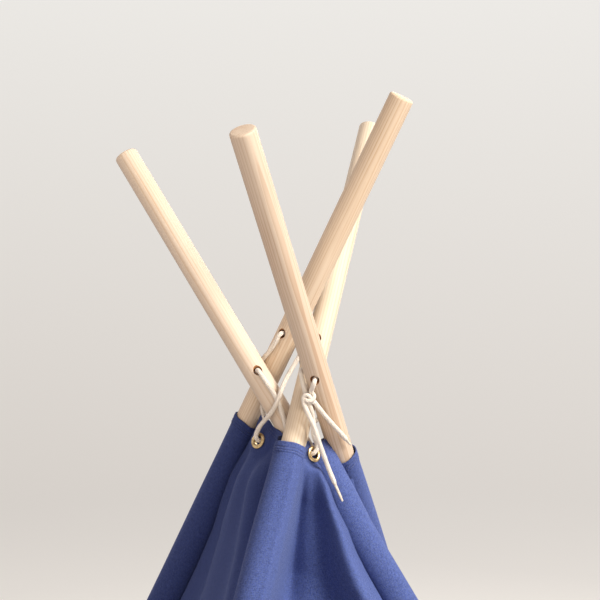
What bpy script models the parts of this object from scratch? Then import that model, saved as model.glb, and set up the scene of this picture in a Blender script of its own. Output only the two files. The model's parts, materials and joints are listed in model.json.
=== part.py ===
"""Kids' play teepee: four crossing pine poles, a canvas cover with corner sleeves, and cotton cord lacing.

Units are metres, +Z is up, the origin is on the floor under the middle of the footprint, and the door
faces -Y. Each pole is described by where its foot stands, how far it tilts from upright and the
compass direction in which it leans. Everything on a pole is measured along it from its foot.
"""
import math

import bmesh
import bpy
from mathutils import Matrix, Vector

# ---------------------------------------------------------------- driving sizes
POLE_D = 0.0320            # pine dowel
POLE_LEN = 1.8100
POLE_EDGE = 0.0016         # rounding of a pole's end
HOLE_D = 0.0105            # cross hole for the cord
TENON_D = 0.0272           # turned end inside a joiner
TENON_LEN = 0.0450
JOINT_AT = 0.9050          # where the two halves of a pole meet
JOINER_WALL_GAP = 0.0003
SLEEVE_WALL = 0.0012
SLEEVE_GAP = 0.0003        # canvas sleeve to pole
PIVOT_Z = 1.1650           # height of the cover's top ring, about which the poles swing
PANEL_T = 0.0012           # canvas with its lining fold
PANEL_GAP = 0.0004
PANEL_BOW = 0.016          # how far a panel's middle sags inward
FLOOR_CLEAR = 0.0018       # pocket bottom under a pole's end
HEADER_LOW = 1.030         # along the pole: lower edge of the front header
FLAP_TOP = 1.055           # along the pole: upper edge of a door flap
FLAP_LIFT = 0.0030         # door flaps lie this far outside the header
DOOR_SLIT = 0.0020
EYELET_D = 0.0215
EYELET_HOLE = 0.0116
EYELET_SEAT = 0.0012       # a flange stands this far off the curved canvas
CORD_D = 0.0060
SIDES = 24                 # round parts

R = POLE_D / 2
R_IN = R + SLEEVE_GAP
R_OUT = R_IN + SLEEVE_WALL

# name: foot x, foot y, tilt, lean direction, sleeve top, hole position, hole roll
POLES = {
    "front_left": (-0.5235, -0.5417, 30.14, 45.53, 1.312, 1.4600, -72.0),
    "front_right": (0.5281, -0.4969, 32.93, 140.99, 1.336, 1.4583, -145.8),
    "back_right": (0.5244, 0.4889, 33.37, -133.88, 1.337, 1.4709, 101.3),
    "back_left": (-0.5281, 0.5417, 29.58, -47.98, 1.330, 1.4670, -5.5),
}
ROOT = "back_left"


class Pole:
    """A pole's axis and the directions across it."""

    def __init__(self, x, y, tilt, lean, sleeve_top, hole, roll):
        t, a = math.radians(tilt), math.radians(lean)
        self.tilt = t
        self.d = Vector((math.sin(t) * math.cos(a), math.sin(t) * math.sin(a), math.cos(t)))
        self.base = Vector((x, y, R * math.sin(t)))
        self.s0 = FLOOR_CLEAR / math.cos(t)          # the pole's own end, above the pocket bottom
        self.x = self.d.cross(Vector((0, 0, 1))).normalized()   # hinge direction, level
        self.y = self.d.cross(self.x)
        self.sleeve_top, self.hole, self.roll = sleeve_top, hole, roll
        self.s_pivot = (PIVOT_Z - self.base.z) / self.d.z
        self.pivot = self.at(self.s_pivot)

    def at(self, s):
        return self.base + self.d * s

    def around(self, s, roll, r):
        """A point at distance r from the axis, turned by roll about it."""
        a = math.radians(roll)
        return self.at(s) + (self.x * math.cos(a) + self.y * math.sin(a)) * r


P = {name: Pole(*v) for name, v in POLES.items()}

# ---------------------------------------------------------------- scene
for old in list(bpy.data.objects):
    bpy.data.objects.remove(old, do_unlink=True)
scene = bpy.context.scene
parts = bpy.data.collections.new("kids_teepee")
cutters = bpy.data.collections.new("cutters")
for c in (parts, cutters):
    scene.collection.children.link(c)

COLOURS = {
    "pine": ((0.80, 0.62, 0.42, 1), 0.55, 0.0),
    "canvas": ((0.075, 0.090, 0.260, 1), 0.90, 0.0),
    "brass": ((0.55, 0.40, 0.18, 1), 0.35, 1.0),
    "steel": ((0.55, 0.55, 0.56, 1), 0.35, 1.0),
    "cord": ((0.78, 0.72, 0.62, 1), 0.85, 0.0),
}


def paint(obj, look):
    colour, rough, metal = COLOURS[look]
    m = bpy.data.materials.new(obj.name + "_" + look)
    m.use_nodes = True
    b = m.node_tree.nodes["Principled BSDF"]
    b.inputs["Base Color"].default_value = colour
    b.inputs["Roughness"].default_value = rough
    b.inputs["Metallic"].default_value = metal
    obj.data.materials.clear()
    obj.data.materials.append(m)


def add(name, data, look=None, parent=None, where=parts):
    obj = bpy.data.objects.new(name, data)
    where.objects.link(obj)
    if parent is not None:
        obj.parent = parent
    if where is cutters:
        obj.hide_render = True
        obj.display_type = "WIRE"
    if look:
        paint(obj, look)
    return obj


def smooth(mesh, angle=40):
    mesh.shade_smooth()
    mesh.set_sharp_from_angle(angle=math.radians(angle))


def turned(name, profile, look, parent=None, closed=False, where=parts, sides=SIDES):
    """A profile of (radius, height) turned about local Z. It runs down the outer side."""
    mesh = bpy.data.meshes.new(name)
    n = len(profile)
    edges = [(i, i + 1) for i in range(n - 1)] + ([(n - 1, 0)] if closed else [])
    mesh.from_pydata([(r, 0, z) for r, z in profile], edges, [])
    obj = add(name, mesh, look, parent, where)
    m = obj.modifiers.new("turn", "SCREW")
    m.axis = "Z"
    m.angle = 2 * math.pi
    m.steps = m.render_steps = sides
    m.use_merge_vertices = True
    m.merge_threshold = 0.00001
    m.use_smooth_shade = True
    return obj


def cylinder(name, radius, low, high, parent, sides=SIDES, where=cutters, matrix=None):
    bm = bmesh.new()
    bmesh.ops.create_cone(bm, cap_ends=True, segments=sides, radius1=radius, radius2=radius, depth=high - low)
    bmesh.ops.translate(bm, verts=bm.verts, vec=(0, 0, (high + low) / 2))
    if matrix is not None:
        bmesh.ops.transform(bm, matrix=matrix, verts=bm.verts)
    mesh = bpy.data.meshes.new(name)
    bm.to_mesh(mesh)
    bm.free()
    return add(name, mesh, None, parent, where)


def block(name, size, centre, where=cutters):
    bm = bmesh.new()
    bmesh.ops.create_cube(bm, size=1.0)
    bmesh.ops.scale(bm, verts=bm.verts, vec=size)
    bmesh.ops.translate(bm, verts=bm.verts, vec=centre)
    mesh = bpy.data.meshes.new(name)
    bm.to_mesh(mesh)
    bm.free()
    return add(name, mesh, None, None, where)


def cut(obj, other, operation="DIFFERENCE"):
    m = obj.modifiers.new("cut_" + other.name, "BOOLEAN")
    m.operation = operation
    m.object = other
    m.solver = "EXACT"


# ---------------------------------------------------------------- pivots: one empty on each joint axis
pivots = {}
for name, p in P.items():
    e = bpy.data.objects.new("pivot_" + name, None)
    parts.objects.link(e)
    e.matrix_world = Matrix.Translation(p.pivot) @ Matrix((p.x, p.y, p.d)).transposed().to_4x4()
    pivots[name] = e


def along(p, s):
    """A position along a pole, in its pivot's own Z."""
    return s - p.s_pivot


below_floor = block("floor_block", (3, 3, 1), (0, 0, -0.5))
below_pocket = block("pocket_block", (3, 3, 1), (0, 0, 0.0015 - 0.5))

# ---------------------------------------------------------------- poles, joiners, sleeves
for name, p in P.items():
    e = pivots[name]
    z = lambda s: along(p, s)  # noqa: E731
    rt, g = TENON_D / 2, 0.00015
    k = POLE_EDGE
    upper = turned(
        "pole_upper_" + name,
        [(0, z(POLE_LEN)), (R - k, z(POLE_LEN)), (R - 0.29 * k, z(POLE_LEN) - 0.29 * k), (R, z(POLE_LEN) - k),
         (R, z(JOINT_AT + TENON_LEN)), (rt, z(JOINT_AT + TENON_LEN)), (rt, z(JOINT_AT + g) + 0.001),
         (rt - 0.001, z(JOINT_AT + g)), (0, z(JOINT_AT + g))],
        "pine", e)
    roll = math.radians(p.roll)
    turn = Matrix.Translation((0, 0, z(p.hole))) @ Matrix.Rotation(roll, 4, "Z") @ Matrix.Rotation(math.pi / 2, 4, "Y")
    cut(upper, cylinder("hole_" + name, HOLE_D / 2, -0.03, 0.03, e, 20, matrix=turn))
    turned(
        "pole_lower_" + name,
        [(0, z(JOINT_AT - g)), (rt - 0.001, z(JOINT_AT - g)), (rt, z(JOINT_AT - g) - 0.001),
         (rt, z(JOINT_AT - TENON_LEN)), (R, z(JOINT_AT - TENON_LEN)),
         (R, z(p.s0) + k), (R - k, z(p.s0)), (0, z(p.s0))],
        "pine", e)
    ri = rt + JOINER_WALL_GAP
    h = TENON_LEN - 0.0003
    turned(
        "pole_joiner_" + name,
        [(R, z(JOINT_AT + h)), (R, z(JOINT_AT - h)), (ri, z(JOINT_AT - h)), (ri, z(JOINT_AT + h))],
        "steel", e, closed=True)
    sleeve = cylinder("sleeve_" + name, R_OUT, z(-0.06), z(p.sleeve_top), e, SIDES, parts)
    paint(sleeve, "canvas")
    smooth(sleeve.data)
    bore = cylinder("sleeve_bore_" + name, R_IN, z(-0.06), z(p.sleeve_top + 0.05), e, SIDES)
    cut(bore, below_pocket)
    cut(sleeve, below_floor)
    cut(sleeve, bore)


# ---------------------------------------------------------------- cover panels
def tangent(a, b, sa, sb, lift):
    """The outer line that touches both sleeves at these two positions: its two ends and its outward normal."""
    pa, pb = P[a].at(sa), P[b].at(sb)
    outward = (pa + pb) / 2 - Vector((-0.03, 0.0, pa.z))
    qa, qb = pa, pb
    for _ in range(6):
        along_line = qb - qa
        na, nb = (along_line.cross(P[k].d).normalized() for k in (a, b))
        if (na + nb).dot(outward) < 0:
            na, nb = -na, -nb
        qa, qb = pa + na * lift, pb + nb * lift
    return qa, qb, (na + nb).normalized()


def cloth_point(a, b, low, high, lift, bow, peak, peak_at, u, w, inset=0.0):
    """A point of a panel: u runs from pole a's sleeve to pole b's, w from the lower edge to the upper one."""
    rise = peak * w ** 6 * max(0.0, 1 - abs(u - peak_at) / max(peak_at, 1 - peak_at))
    sa = low[0] + (high[0] - low[0]) * w + rise
    sb = low[1] + (high[1] - low[1]) * w + rise
    pa, pb, n = tangent(a, b, sa, sb, lift)
    width = (pb - pa).length
    if inset:
        pa, pb = pa + (pb - pa).normalized() * inset, pb
    return pa.lerp(pb, u) - n * (bow * 4 * u * (1 - u) * min(1.0, width / 0.4) * (0.4 + 0.6 * w))


def panel(name, shape, u0=0.0, u1=1.0, across=8, up=12, crowd=1.7):
    """A canvas panel between two sleeves."""
    bm = bmesh.new()
    bmesh.ops.create_grid(bm, x_segments=across, y_segments=up, size=0.5)
    for v in bm.verts:
        u, w = v.co.x + 0.5, 1 - (0.5 - v.co.y) ** crowd     # rows crowd towards the top, where the canvas twists most
        v.co = cloth_point(*shape, u0 + (u1 - u0) * u, w)
    bmesh.ops.recalc_face_normals(bm, faces=bm.faces)
    mesh = bpy.data.meshes.new(name)
    bm.to_mesh(mesh)
    bm.free()
    obj = add(name, mesh, "canvas")
    m = obj.modifiers.new("thick", "SOLIDIFY")
    m.thickness = PANEL_T
    m.offset = 0.0
    m.use_even_offset = True
    smooth(mesh)
    return obj


LIFT = R_OUT + PANEL_GAP + PANEL_T / 2
HEM = -0.008
# the two poles, the lower edge along each, the upper edge along each, lift, sag, peak of the top edge and where it is
SHAPES = {
    "left": ("back_left", "front_left", (HEM, HEM), (1.318, 1.300), LIFT, PANEL_BOW, 0.034, 0.5),
    "back": ("back_right", "back_left", (HEM, HEM), (1.312, 1.318), LIFT, PANEL_BOW, 0.020, 0.5),
    "right": ("front_right", "back_right", (HEM, HEM), (1.280, 1.292), LIFT, PANEL_BOW, 0.004, 0.5),
    "front": ("front_left", "front_right", (HEADER_LOW, HEADER_LOW), (1.300, 1.312), LIFT, 0.004, 0.026, 0.36),
}
cover = {
    "left": panel("cover_panel_left", SHAPES["left"]),
    "back": panel("cover_panel_back", SHAPES["back"]),
    "right": panel("cover_panel_right", SHAPES["right"]),
    "front": panel("cover_front_header", SHAPES["front"], up=8),
}

# door flaps: each hangs from the outer side of its pole's sleeve and meets the other at the slit
door_lift = LIFT + PANEL_T + FLAP_LIFT
flap_shape = ("front_left", "front_right", (0.002, 0.002), (FLAP_TOP, FLAP_TOP), door_lift, 0.0, 0.0, 0.5)
for side, (u0, u1) in {"left": (0.0, 0.4985), "right": (0.5015, 1.0)}.items():
    panel("door_flap_" + side, flap_shape, u0, u1, across=4, up=6, crowd=1.0)

# tape ties that hold a flap back: a short strap sewn to each front sleeve, hanging down its outer face
TIE_W, TIE_LEN, TIE_T, TIE_TOP = 0.012, 0.20, 0.0016, 0.50
for side, name in (("left", "front_left"), ("right", "front_right")):
    p = P[name]
    bm = bmesh.new()
    bmesh.ops.create_cube(bm, size=1.0)
    bmesh.ops.scale(bm, verts=bm.verts, vec=(TIE_W, TIE_T, TIE_LEN))
    mesh = bpy.data.meshes.new("door_tie_" + side)
    bm.to_mesh(mesh)
    bm.free()
    tie = add("door_tie_" + side, mesh, "canvas")
    middle = p.at(TIE_TOP - TIE_LEN / 2) - p.y * (R_OUT + 0.0004 + TIE_T / 2)
    tie.matrix_world = Matrix.Translation(middle) @ Matrix((p.x, p.y, p.d)).transposed().to_4x4()
    bev = tie.modifiers.new("edge", "BEVEL")
    bev.width = 0.0005
    bev.segments = 1


# ---------------------------------------------------------------- eyelets, set through the panels
EYELETS = {"left": (0.53, 0.978), "back": (0.5, 0.990), "right": (0.40, 0.965), "front": (0.42, 0.960)}   # u, w
eyelet_frame = {}
for side, (u, w) in EYELETS.items():
    c, c_u, c_w = (cloth_point(*SHAPES[side], *q) for q in ((u, w), (u + 0.01, w), (u, w - 0.002)))
    up = (c - c_w).normalized()
    n = (c_u - c).cross(up).normalized()
    if n.dot(c - Vector((-0.03, 0, c.z))) < 0:
        n = -n
    frame = Matrix((up.cross(n), up, n)).transposed()
    eyelet_frame[side] = (c, n, up)
    m = Matrix.Translation(c) @ frame.to_4x4()
    ro, rh, t = EYELET_D / 2, EYELET_HOLE / 2, PANEL_T / 2 + EYELET_SEAT
    rb = rh + 0.0009      # barrel's outer radius
    # the flange and barrel in one, pushed through from outside and rolled over inside
    body = turned(
        "eyelet_" + side,
        [(ro - 0.0008, t + 0.0003), (ro, t), (rb, t), (rb, -t - 0.0014), (rb + 0.0012, -t - 0.0014), (rb + 0.0010, -t - 0.0021),
         (rh + 0.0002, -t - 0.0019), (rh, -t - 0.0008), (rh, t + 0.0008), (rh + 0.0012, t + 0.0016), (rh + 0.0026, t + 0.0018)],
        "brass", None, closed=True)
    body.matrix_world = m
    ring = turned(
        "eyelet_washer_" + side,
        [(ro, -t), (ro - 0.0006, -t - 0.0008), (rb + 0.0016, -t - 0.0011), (rb + 0.0003, -t - 0.0010), (rb + 0.0003, -t)],
        "brass", None, closed=True)
    ring.matrix_world = m
    hole = cylinder("eyelet_hole_" + side, rb + 0.0003, -0.01, 0.01, None, SIDES)
    hole.matrix_world = m
    cut(cover[side], hole)


# ---------------------------------------------------------------- cord
def spline_points(points, step):
    """Points at even steps along a smooth curve through the given ones."""
    pts = [Vector(q) for q in points]
    ext = [pts[0] * 2 - pts[1]] + pts + [pts[-1] * 2 - pts[-2]]
    fine = []
    for i in range(1, len(ext) - 2):
        p0, p1, p2, p3 = ext[i - 1:i + 3]
        t0, t1 = 0.0, (p1 - p0).length ** 0.5
        t2 = t1 + (p2 - p1).length ** 0.5
        t3 = t2 + (p3 - p2).length ** 0.5
        for k in range(24):
            t = t1 + (t2 - t1) * k / 24
            a1 = p0 * ((t1 - t) / (t1 - t0)) + p1 * ((t - t0) / (t1 - t0))
            a2 = p1 * ((t2 - t) / (t2 - t1)) + p2 * ((t - t1) / (t2 - t1))
            a3 = p2 * ((t3 - t) / (t3 - t2)) + p3 * ((t - t2) / (t3 - t2))
            b1 = a1 * ((t2 - t) / (t2 - t0)) + a2 * ((t - t0) / (t2 - t0))
            b2 = a2 * ((t3 - t) / (t3 - t1)) + a3 * ((t - t1) / (t3 - t1))
            fine.append(b1 * ((t2 - t) / (t2 - t1)) + b2 * ((t - t1) / (t2 - t1)))
    fine.append(pts[-1])
    total = [0.0]
    for q, r in zip(fine, fine[1:]):
        total.append(total[-1] + (r - q).length)
    n = max(2, round(total[-1] / step))
    out, j = [], 0
    for i in range(n + 1):
        want = total[-1] * i / n
        while j < len(total) - 2 and total[j + 1] < want:
            j += 1
        f = (want - total[j]) / max(1e-9, total[j + 1] - total[j])
        out.append(fine[j].lerp(fine[j + 1], f))
    return out, total[-1]


def clear_of_poles(q, r):
    """Moves a cord's point out of any pole or sleeve it would touch, unless it runs in that pole's cross hole."""
    for p in P.values():
        s = (q - p.base).dot(p.d)
        off = q - p.at(s)
        need = r + 0.0008 + (R_OUT if s < p.sleeve_top + 0.006 else R)
        if off.length >= need:
            continue
        hole = p.at(p.hole)
        way = p.around(p.hole, p.roll, 1.0) - hole
        if (q - hole).cross(way).length < 0.0016:
            continue
        q = q + off.normalized() * (need - off.length)
    return q


def settled(points, longest, r):
    """The cord's middle line: the route through the given points, drawn smooth and pushed clear of the poles.
    It keeps a point wherever the line bends and at least one every so often."""
    line, _ = spline_points(points, 0.0025)
    for turn in range(40):
        line = [line[0]] + [clear_of_poles(q, r) for q in line[1:-1]] + [line[-1]]
        if turn < 34:
            line = [line[0]] + [b if in_hole(b) else (a + b * 2 + c) / 4 for a, b, c in zip(line, line[1:], line[2:])] + [line[-1]]
    length = sum((b - a).length for a, b in zip(line, line[1:]))
    kept, i = [line[0]], 0
    while i < len(line) - 1:
        j = i + 1
        while j < len(line) - 1 and (line[j + 1] - line[i]).length < longest:
            way = (line[j + 1] - line[i]).normalized()
            if max((q - line[i]).cross(way).length for q in line[i + 1:j + 1]) > 0.00045:
                break
            j += 1
        kept.append(line[j])
        i = j
    return kept, length


def in_hole(q):
    """Whether a point runs in a pole's cross hole or an eyelet, where smoothing leaves it as it is."""
    for p in P.values():
        hole = p.at(p.hole)
        way = p.around(p.hole, p.roll, 1.0) - hole
        if (q - hole).length < 0.0195 and (q - hole).cross(way).length < 0.0016:
            return True
    return any((q - c).length < 0.0095 for c, n, up in eyelet_frame.values())


def tube(name, points, diameter=CORD_D, longest=0.03):
    pts, length = settled(points, longest, diameter / 2)
    curve = bpy.data.curves.new(name, "CURVE")
    curve.dimensions = "3D"
    curve.bevel_depth = diameter / 2
    curve.bevel_resolution = 2
    curve.use_fill_caps = True
    s = curve.splines.new("POLY")
    s.points.add(len(pts) - 1)
    for q, v in zip(s.points, pts):
        q.co = (*v, 1)
    return add(name, curve, "cord")


def lump(name, centre, axes, sizes):
    """A tied knot's outer shape."""
    bm = bmesh.new()
    bmesh.ops.create_uvsphere(bm, u_segments=12, v_segments=8, radius=0.5)
    bmesh.ops.scale(bm, verts=bm.verts, vec=sizes)
    mesh = bpy.data.meshes.new(name)
    bm.to_mesh(mesh)
    bm.free()
    obj = add(name, mesh, "cord")
    obj.matrix_world = Matrix.Translation(centre) @ Matrix(axes).transposed().to_4x4()
    smooth(mesh)
    return obj


FL, FR, BR, BL = (P[n] for n in ("front_left", "front_right", "back_right", "back_left"))


def eye(side, out=0.0, up=0.0, across=0.0):
    """A point near an eyelet, measured from its centre."""
    c, n, u = eyelet_frame[side]
    return c + n * out + u * up + u.cross(n) * across


def through(side, inward=True):
    """The cord's bends through an eyelet: over the upper rim, through the middle and up behind it."""
    bends = [eye(side, *q) for q in ((0.0088, 0.0150), (0.0084, 0.0090), (0.0058, 0.0030), (0, 0), (-0.0060, 0.0030), (-0.0092, 0.0090),
                                     (-0.0094, 0.0150))]
    return bends if inward else bends[::-1]


# the tie: a knot hanging at the front of the back-right pole, just below that pole's hole
KNOT = Vector((-0.0476, -0.0940, 1.2061))
TO_RIGHT, TO_FRONT = Vector((0.9544, -0.2983, 0)), Vector((-0.2983, -0.9544, 0))
lump("tie_knot", KNOT, (TO_RIGHT, -TO_FRONT, Vector((0, 0, 1))), (0.0160, 0.0125, 0.0110))


def knot(right=0.0, out=0.0, up=0.0):
    return KNOT + TO_RIGHT * right + TO_FRONT * out + Vector((0, 0, up))


tube("tie_cord_loop", [
    knot(0.0030, 0.0015, 0.0074), knot(0.0040, 0.0015, 0.0110), BR.around(1.4680, 99, 0.0225), BR.around(1.4709, 101.3, 0.0165),
    BR.around(1.4709, 101.3, 0.0), BR.around(1.4709, -78.7, 0.0165), BR.around(1.4715, -73, 0.0220), BR.around(1.4730, -48, 0.0205),
    BR.around(1.4745, -18, 0.0200), BR.around(1.4765, 14, 0.0202), BR.around(1.4765, 36, 0.0208), knot(-0.0063, -0.0060, 0.0265),
    knot(-0.0066, -0.0010, 0.0170), knot(-0.0048, 0.0, 0.0100), knot(-0.0040, 0.0, 0.0070),
])
tube("tie_tail_long", [
    knot(-0.0058, 0.0030, -0.0060), knot(-0.0050, 0.0040, -0.0130), (-0.0440, -0.0965, 1.1780), (-0.0356, -0.0945, 1.1539),
    (-0.0244, -0.0890, 1.1265), (-0.0132, -0.0880, 1.0992), (-0.0045, -0.0950, 1.0755),
])
tube("tie_tail_short", [
    knot(0.0070, -0.0010, -0.0045), knot(0.0105, -0.0005, -0.0095), (-0.0180, -0.0880, 1.1755), (-0.0010, -0.0810, 1.1595), (0.0150, -0.0715, 1.1430),
])

# the lacing: knot, front eyelet, front-right pole, back-left pole, back eyelet, front-left pole, left eyelet, right eyelet, knot
tube("lacing_cord", [
    knot(0.0008, -0.0010, -0.0066), knot(0.0030, 0.0, -0.0140), (-0.0375, -0.0850, 1.1788), (-0.0410, -0.0880, 1.1560), *through("front"),
    (-0.0527, -0.0535, 1.1420), (-0.0611, -0.0428, 1.1660), (-0.0655, -0.0385, 1.1834),
    (-0.0705, -0.0305, 1.2023), (-0.0784, -0.0250, 1.2164), (-0.0866, -0.0200, 1.2304), FR.around(1.4583, -145.8, 0.0165),
    FR.around(1.4583, 34.2, 0.0), FR.around(1.4575, 37, 0.0160), FR.around(1.4560, 46, 0.0222), (-0.0827, 0.0240, 1.2370), (-0.0777, 0.0188, 1.2475),
    (-0.0727, 0.0088, 1.2550), (-0.0682, 0.0020, 1.2628), (-0.0615, -0.0060, 1.2774), BL.around(1.4670, -5.5, 0.0175),
    BL.around(1.4670, -5.5, 0.0), BL.around(1.4670, 174.5, 0.0190), BL.around(1.4600, 172, 0.0260), (-0.0150, 0.0310, 1.2200), *through("back"),
    (-0.0210, 0.0050, 1.1900), (-0.0120, 0.0055, 1.2450),
    FL.around(1.4590, 108, 0.0200), FL.around(1.4600, 108, 0.0), FL.around(1.4600, -72, 0.0175), FL.around(1.4560, -92, 0.0225),
    (-0.0390, -0.0290, 1.2553), (-0.0604, -0.0275, 1.2200), (-0.0700, -0.0370, 1.2014), (-0.0770, -0.0345, 1.1850), *through("left"),
    (-0.0787, 0.0050, 1.1795), (-0.0787, 0.0140, 1.1960), (-0.0690, 0.0155, 1.2050),
    (-0.0540, 0.0090, 1.1900), (-0.0380, -0.0020, 1.1720), (-0.0200, -0.0120, 1.1640), (-0.0060, -0.0190, 1.1740), (0.0000, -0.0250, 1.2000),
    (-0.0200, -0.0600, 1.2330), (-0.0360, -0.0680, 1.2250), knot(-0.0010, -0.0125, 0.0050), knot(-0.0010, -0.0075, 0.0015),
])
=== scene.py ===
"""The look of a kids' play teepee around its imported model: pine poles, blue canvas cover, brass eyelets, cotton cord.

Units are metres, +Z is up, the door faces -Y. Everything on a pole is measured along it from its foot.
"""
import json
import math

import bmesh
import bpy
import numpy as np
from mathutils import Matrix, Vector

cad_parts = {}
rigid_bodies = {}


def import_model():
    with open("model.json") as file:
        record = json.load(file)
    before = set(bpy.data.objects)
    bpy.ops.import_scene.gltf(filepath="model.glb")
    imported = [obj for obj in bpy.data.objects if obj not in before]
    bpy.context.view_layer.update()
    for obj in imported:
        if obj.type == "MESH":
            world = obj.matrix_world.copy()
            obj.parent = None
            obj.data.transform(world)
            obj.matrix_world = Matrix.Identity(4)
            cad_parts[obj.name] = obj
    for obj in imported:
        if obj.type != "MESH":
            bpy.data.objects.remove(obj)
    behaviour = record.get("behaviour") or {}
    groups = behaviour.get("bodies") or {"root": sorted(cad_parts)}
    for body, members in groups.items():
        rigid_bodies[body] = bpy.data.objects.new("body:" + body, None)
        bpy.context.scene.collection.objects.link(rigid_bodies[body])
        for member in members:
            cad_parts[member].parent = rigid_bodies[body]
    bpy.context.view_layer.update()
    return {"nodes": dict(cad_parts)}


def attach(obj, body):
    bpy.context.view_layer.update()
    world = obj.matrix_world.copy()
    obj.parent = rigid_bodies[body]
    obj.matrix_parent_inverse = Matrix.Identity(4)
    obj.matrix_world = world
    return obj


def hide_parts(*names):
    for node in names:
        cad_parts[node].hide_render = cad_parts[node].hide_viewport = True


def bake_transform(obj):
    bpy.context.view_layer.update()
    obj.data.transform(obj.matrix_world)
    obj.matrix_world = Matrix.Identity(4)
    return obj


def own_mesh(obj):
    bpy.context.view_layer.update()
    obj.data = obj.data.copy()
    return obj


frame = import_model()
NODES = frame["nodes"]
scene = bpy.context.scene
scene.view_settings.view_transform = "Standard"
rng = np.random.default_rng(7)

# ---------------------------------------------------------------- camera
CAM_AT = Vector((-0.5465, -1.6587, 1.3332))
FWD = Vector((0.29826, 0.95448, -0.00294)).normalized()
RIGHT = FWD.cross(Vector((0.00970, 0.00005, 0.99995))).normalized()
UP = RIGHT.cross(FWD)
cam_data = bpy.data.cameras.new("camera")
cam_data.sensor_width = 36
cam_data.lens = 79.06
cam_data.clip_start, cam_data.clip_end = 0.05, 80
camera = bpy.data.objects.new("camera", cam_data)
scene.collection.objects.link(camera)
camera.matrix_world = Matrix.Translation(CAM_AT) @ Matrix((RIGHT, UP, -FWD)).transposed().to_4x4()
scene.camera = camera

# ---------------------------------------------------------------- sizes shared with the model
R, R_OUT = 0.0160, 0.0175
POLE_LEN, JOINT_AT, TENON_LEN, TENON_D = 1.81, 0.905, 0.045, 0.0272
HOLE_D = 0.0105
PIVOT_Z = 1.165
PANEL_T = 0.0012
LIFT = R_OUT + 0.0004 + PANEL_T / 2
PANEL_BOW = 0.016
EYELET_D, EYELET_HOLE, EYELET_SEAT = 0.0215, 0.0116, 0.0012
CORD_D = 0.0060
POLES = {
    "front_left": (-0.5235, -0.5417, 30.14, 45.53, 1.312, 1.4600, -72.0),
    "front_right": (0.5281, -0.4969, 32.93, 140.99, 1.336, 1.4583, -145.8),
    "back_right": (0.5244, 0.4889, 33.37, -133.88, 1.337, 1.4709, 101.3),
    "back_left": (-0.5281, 0.5417, 29.58, -47.98, 1.330, 1.4670, -5.5),
}
LEG = {name: name + "_leg" for name in POLES}


class Pole:
    def __init__(self, x, y, tilt, lean, sleeve_top, hole, roll):
        t, a = math.radians(tilt), math.radians(lean)
        self.d = Vector((math.sin(t) * math.cos(a), math.sin(t) * math.sin(a), math.cos(t)))
        self.base = Vector((x, y, R * math.sin(t)))
        self.x = self.d.cross(Vector((0, 0, 1))).normalized()
        self.y = self.d.cross(self.x)
        self.sleeve_top, self.hole, self.roll = sleeve_top, hole, roll
        self.frame = Matrix((self.x, self.y, self.d)).transposed()

    def at(self, s):
        return self.base + self.d * s

    def around(self, s, roll, r):
        a = math.radians(roll)
        return self.at(s) + (self.x * math.cos(a) + self.y * math.sin(a)) * r

    def angle_of(self, v):
        return math.atan2(v.dot(self.y), v.dot(self.x))


P = {name: Pole(*v) for name, v in POLES.items()}


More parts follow.
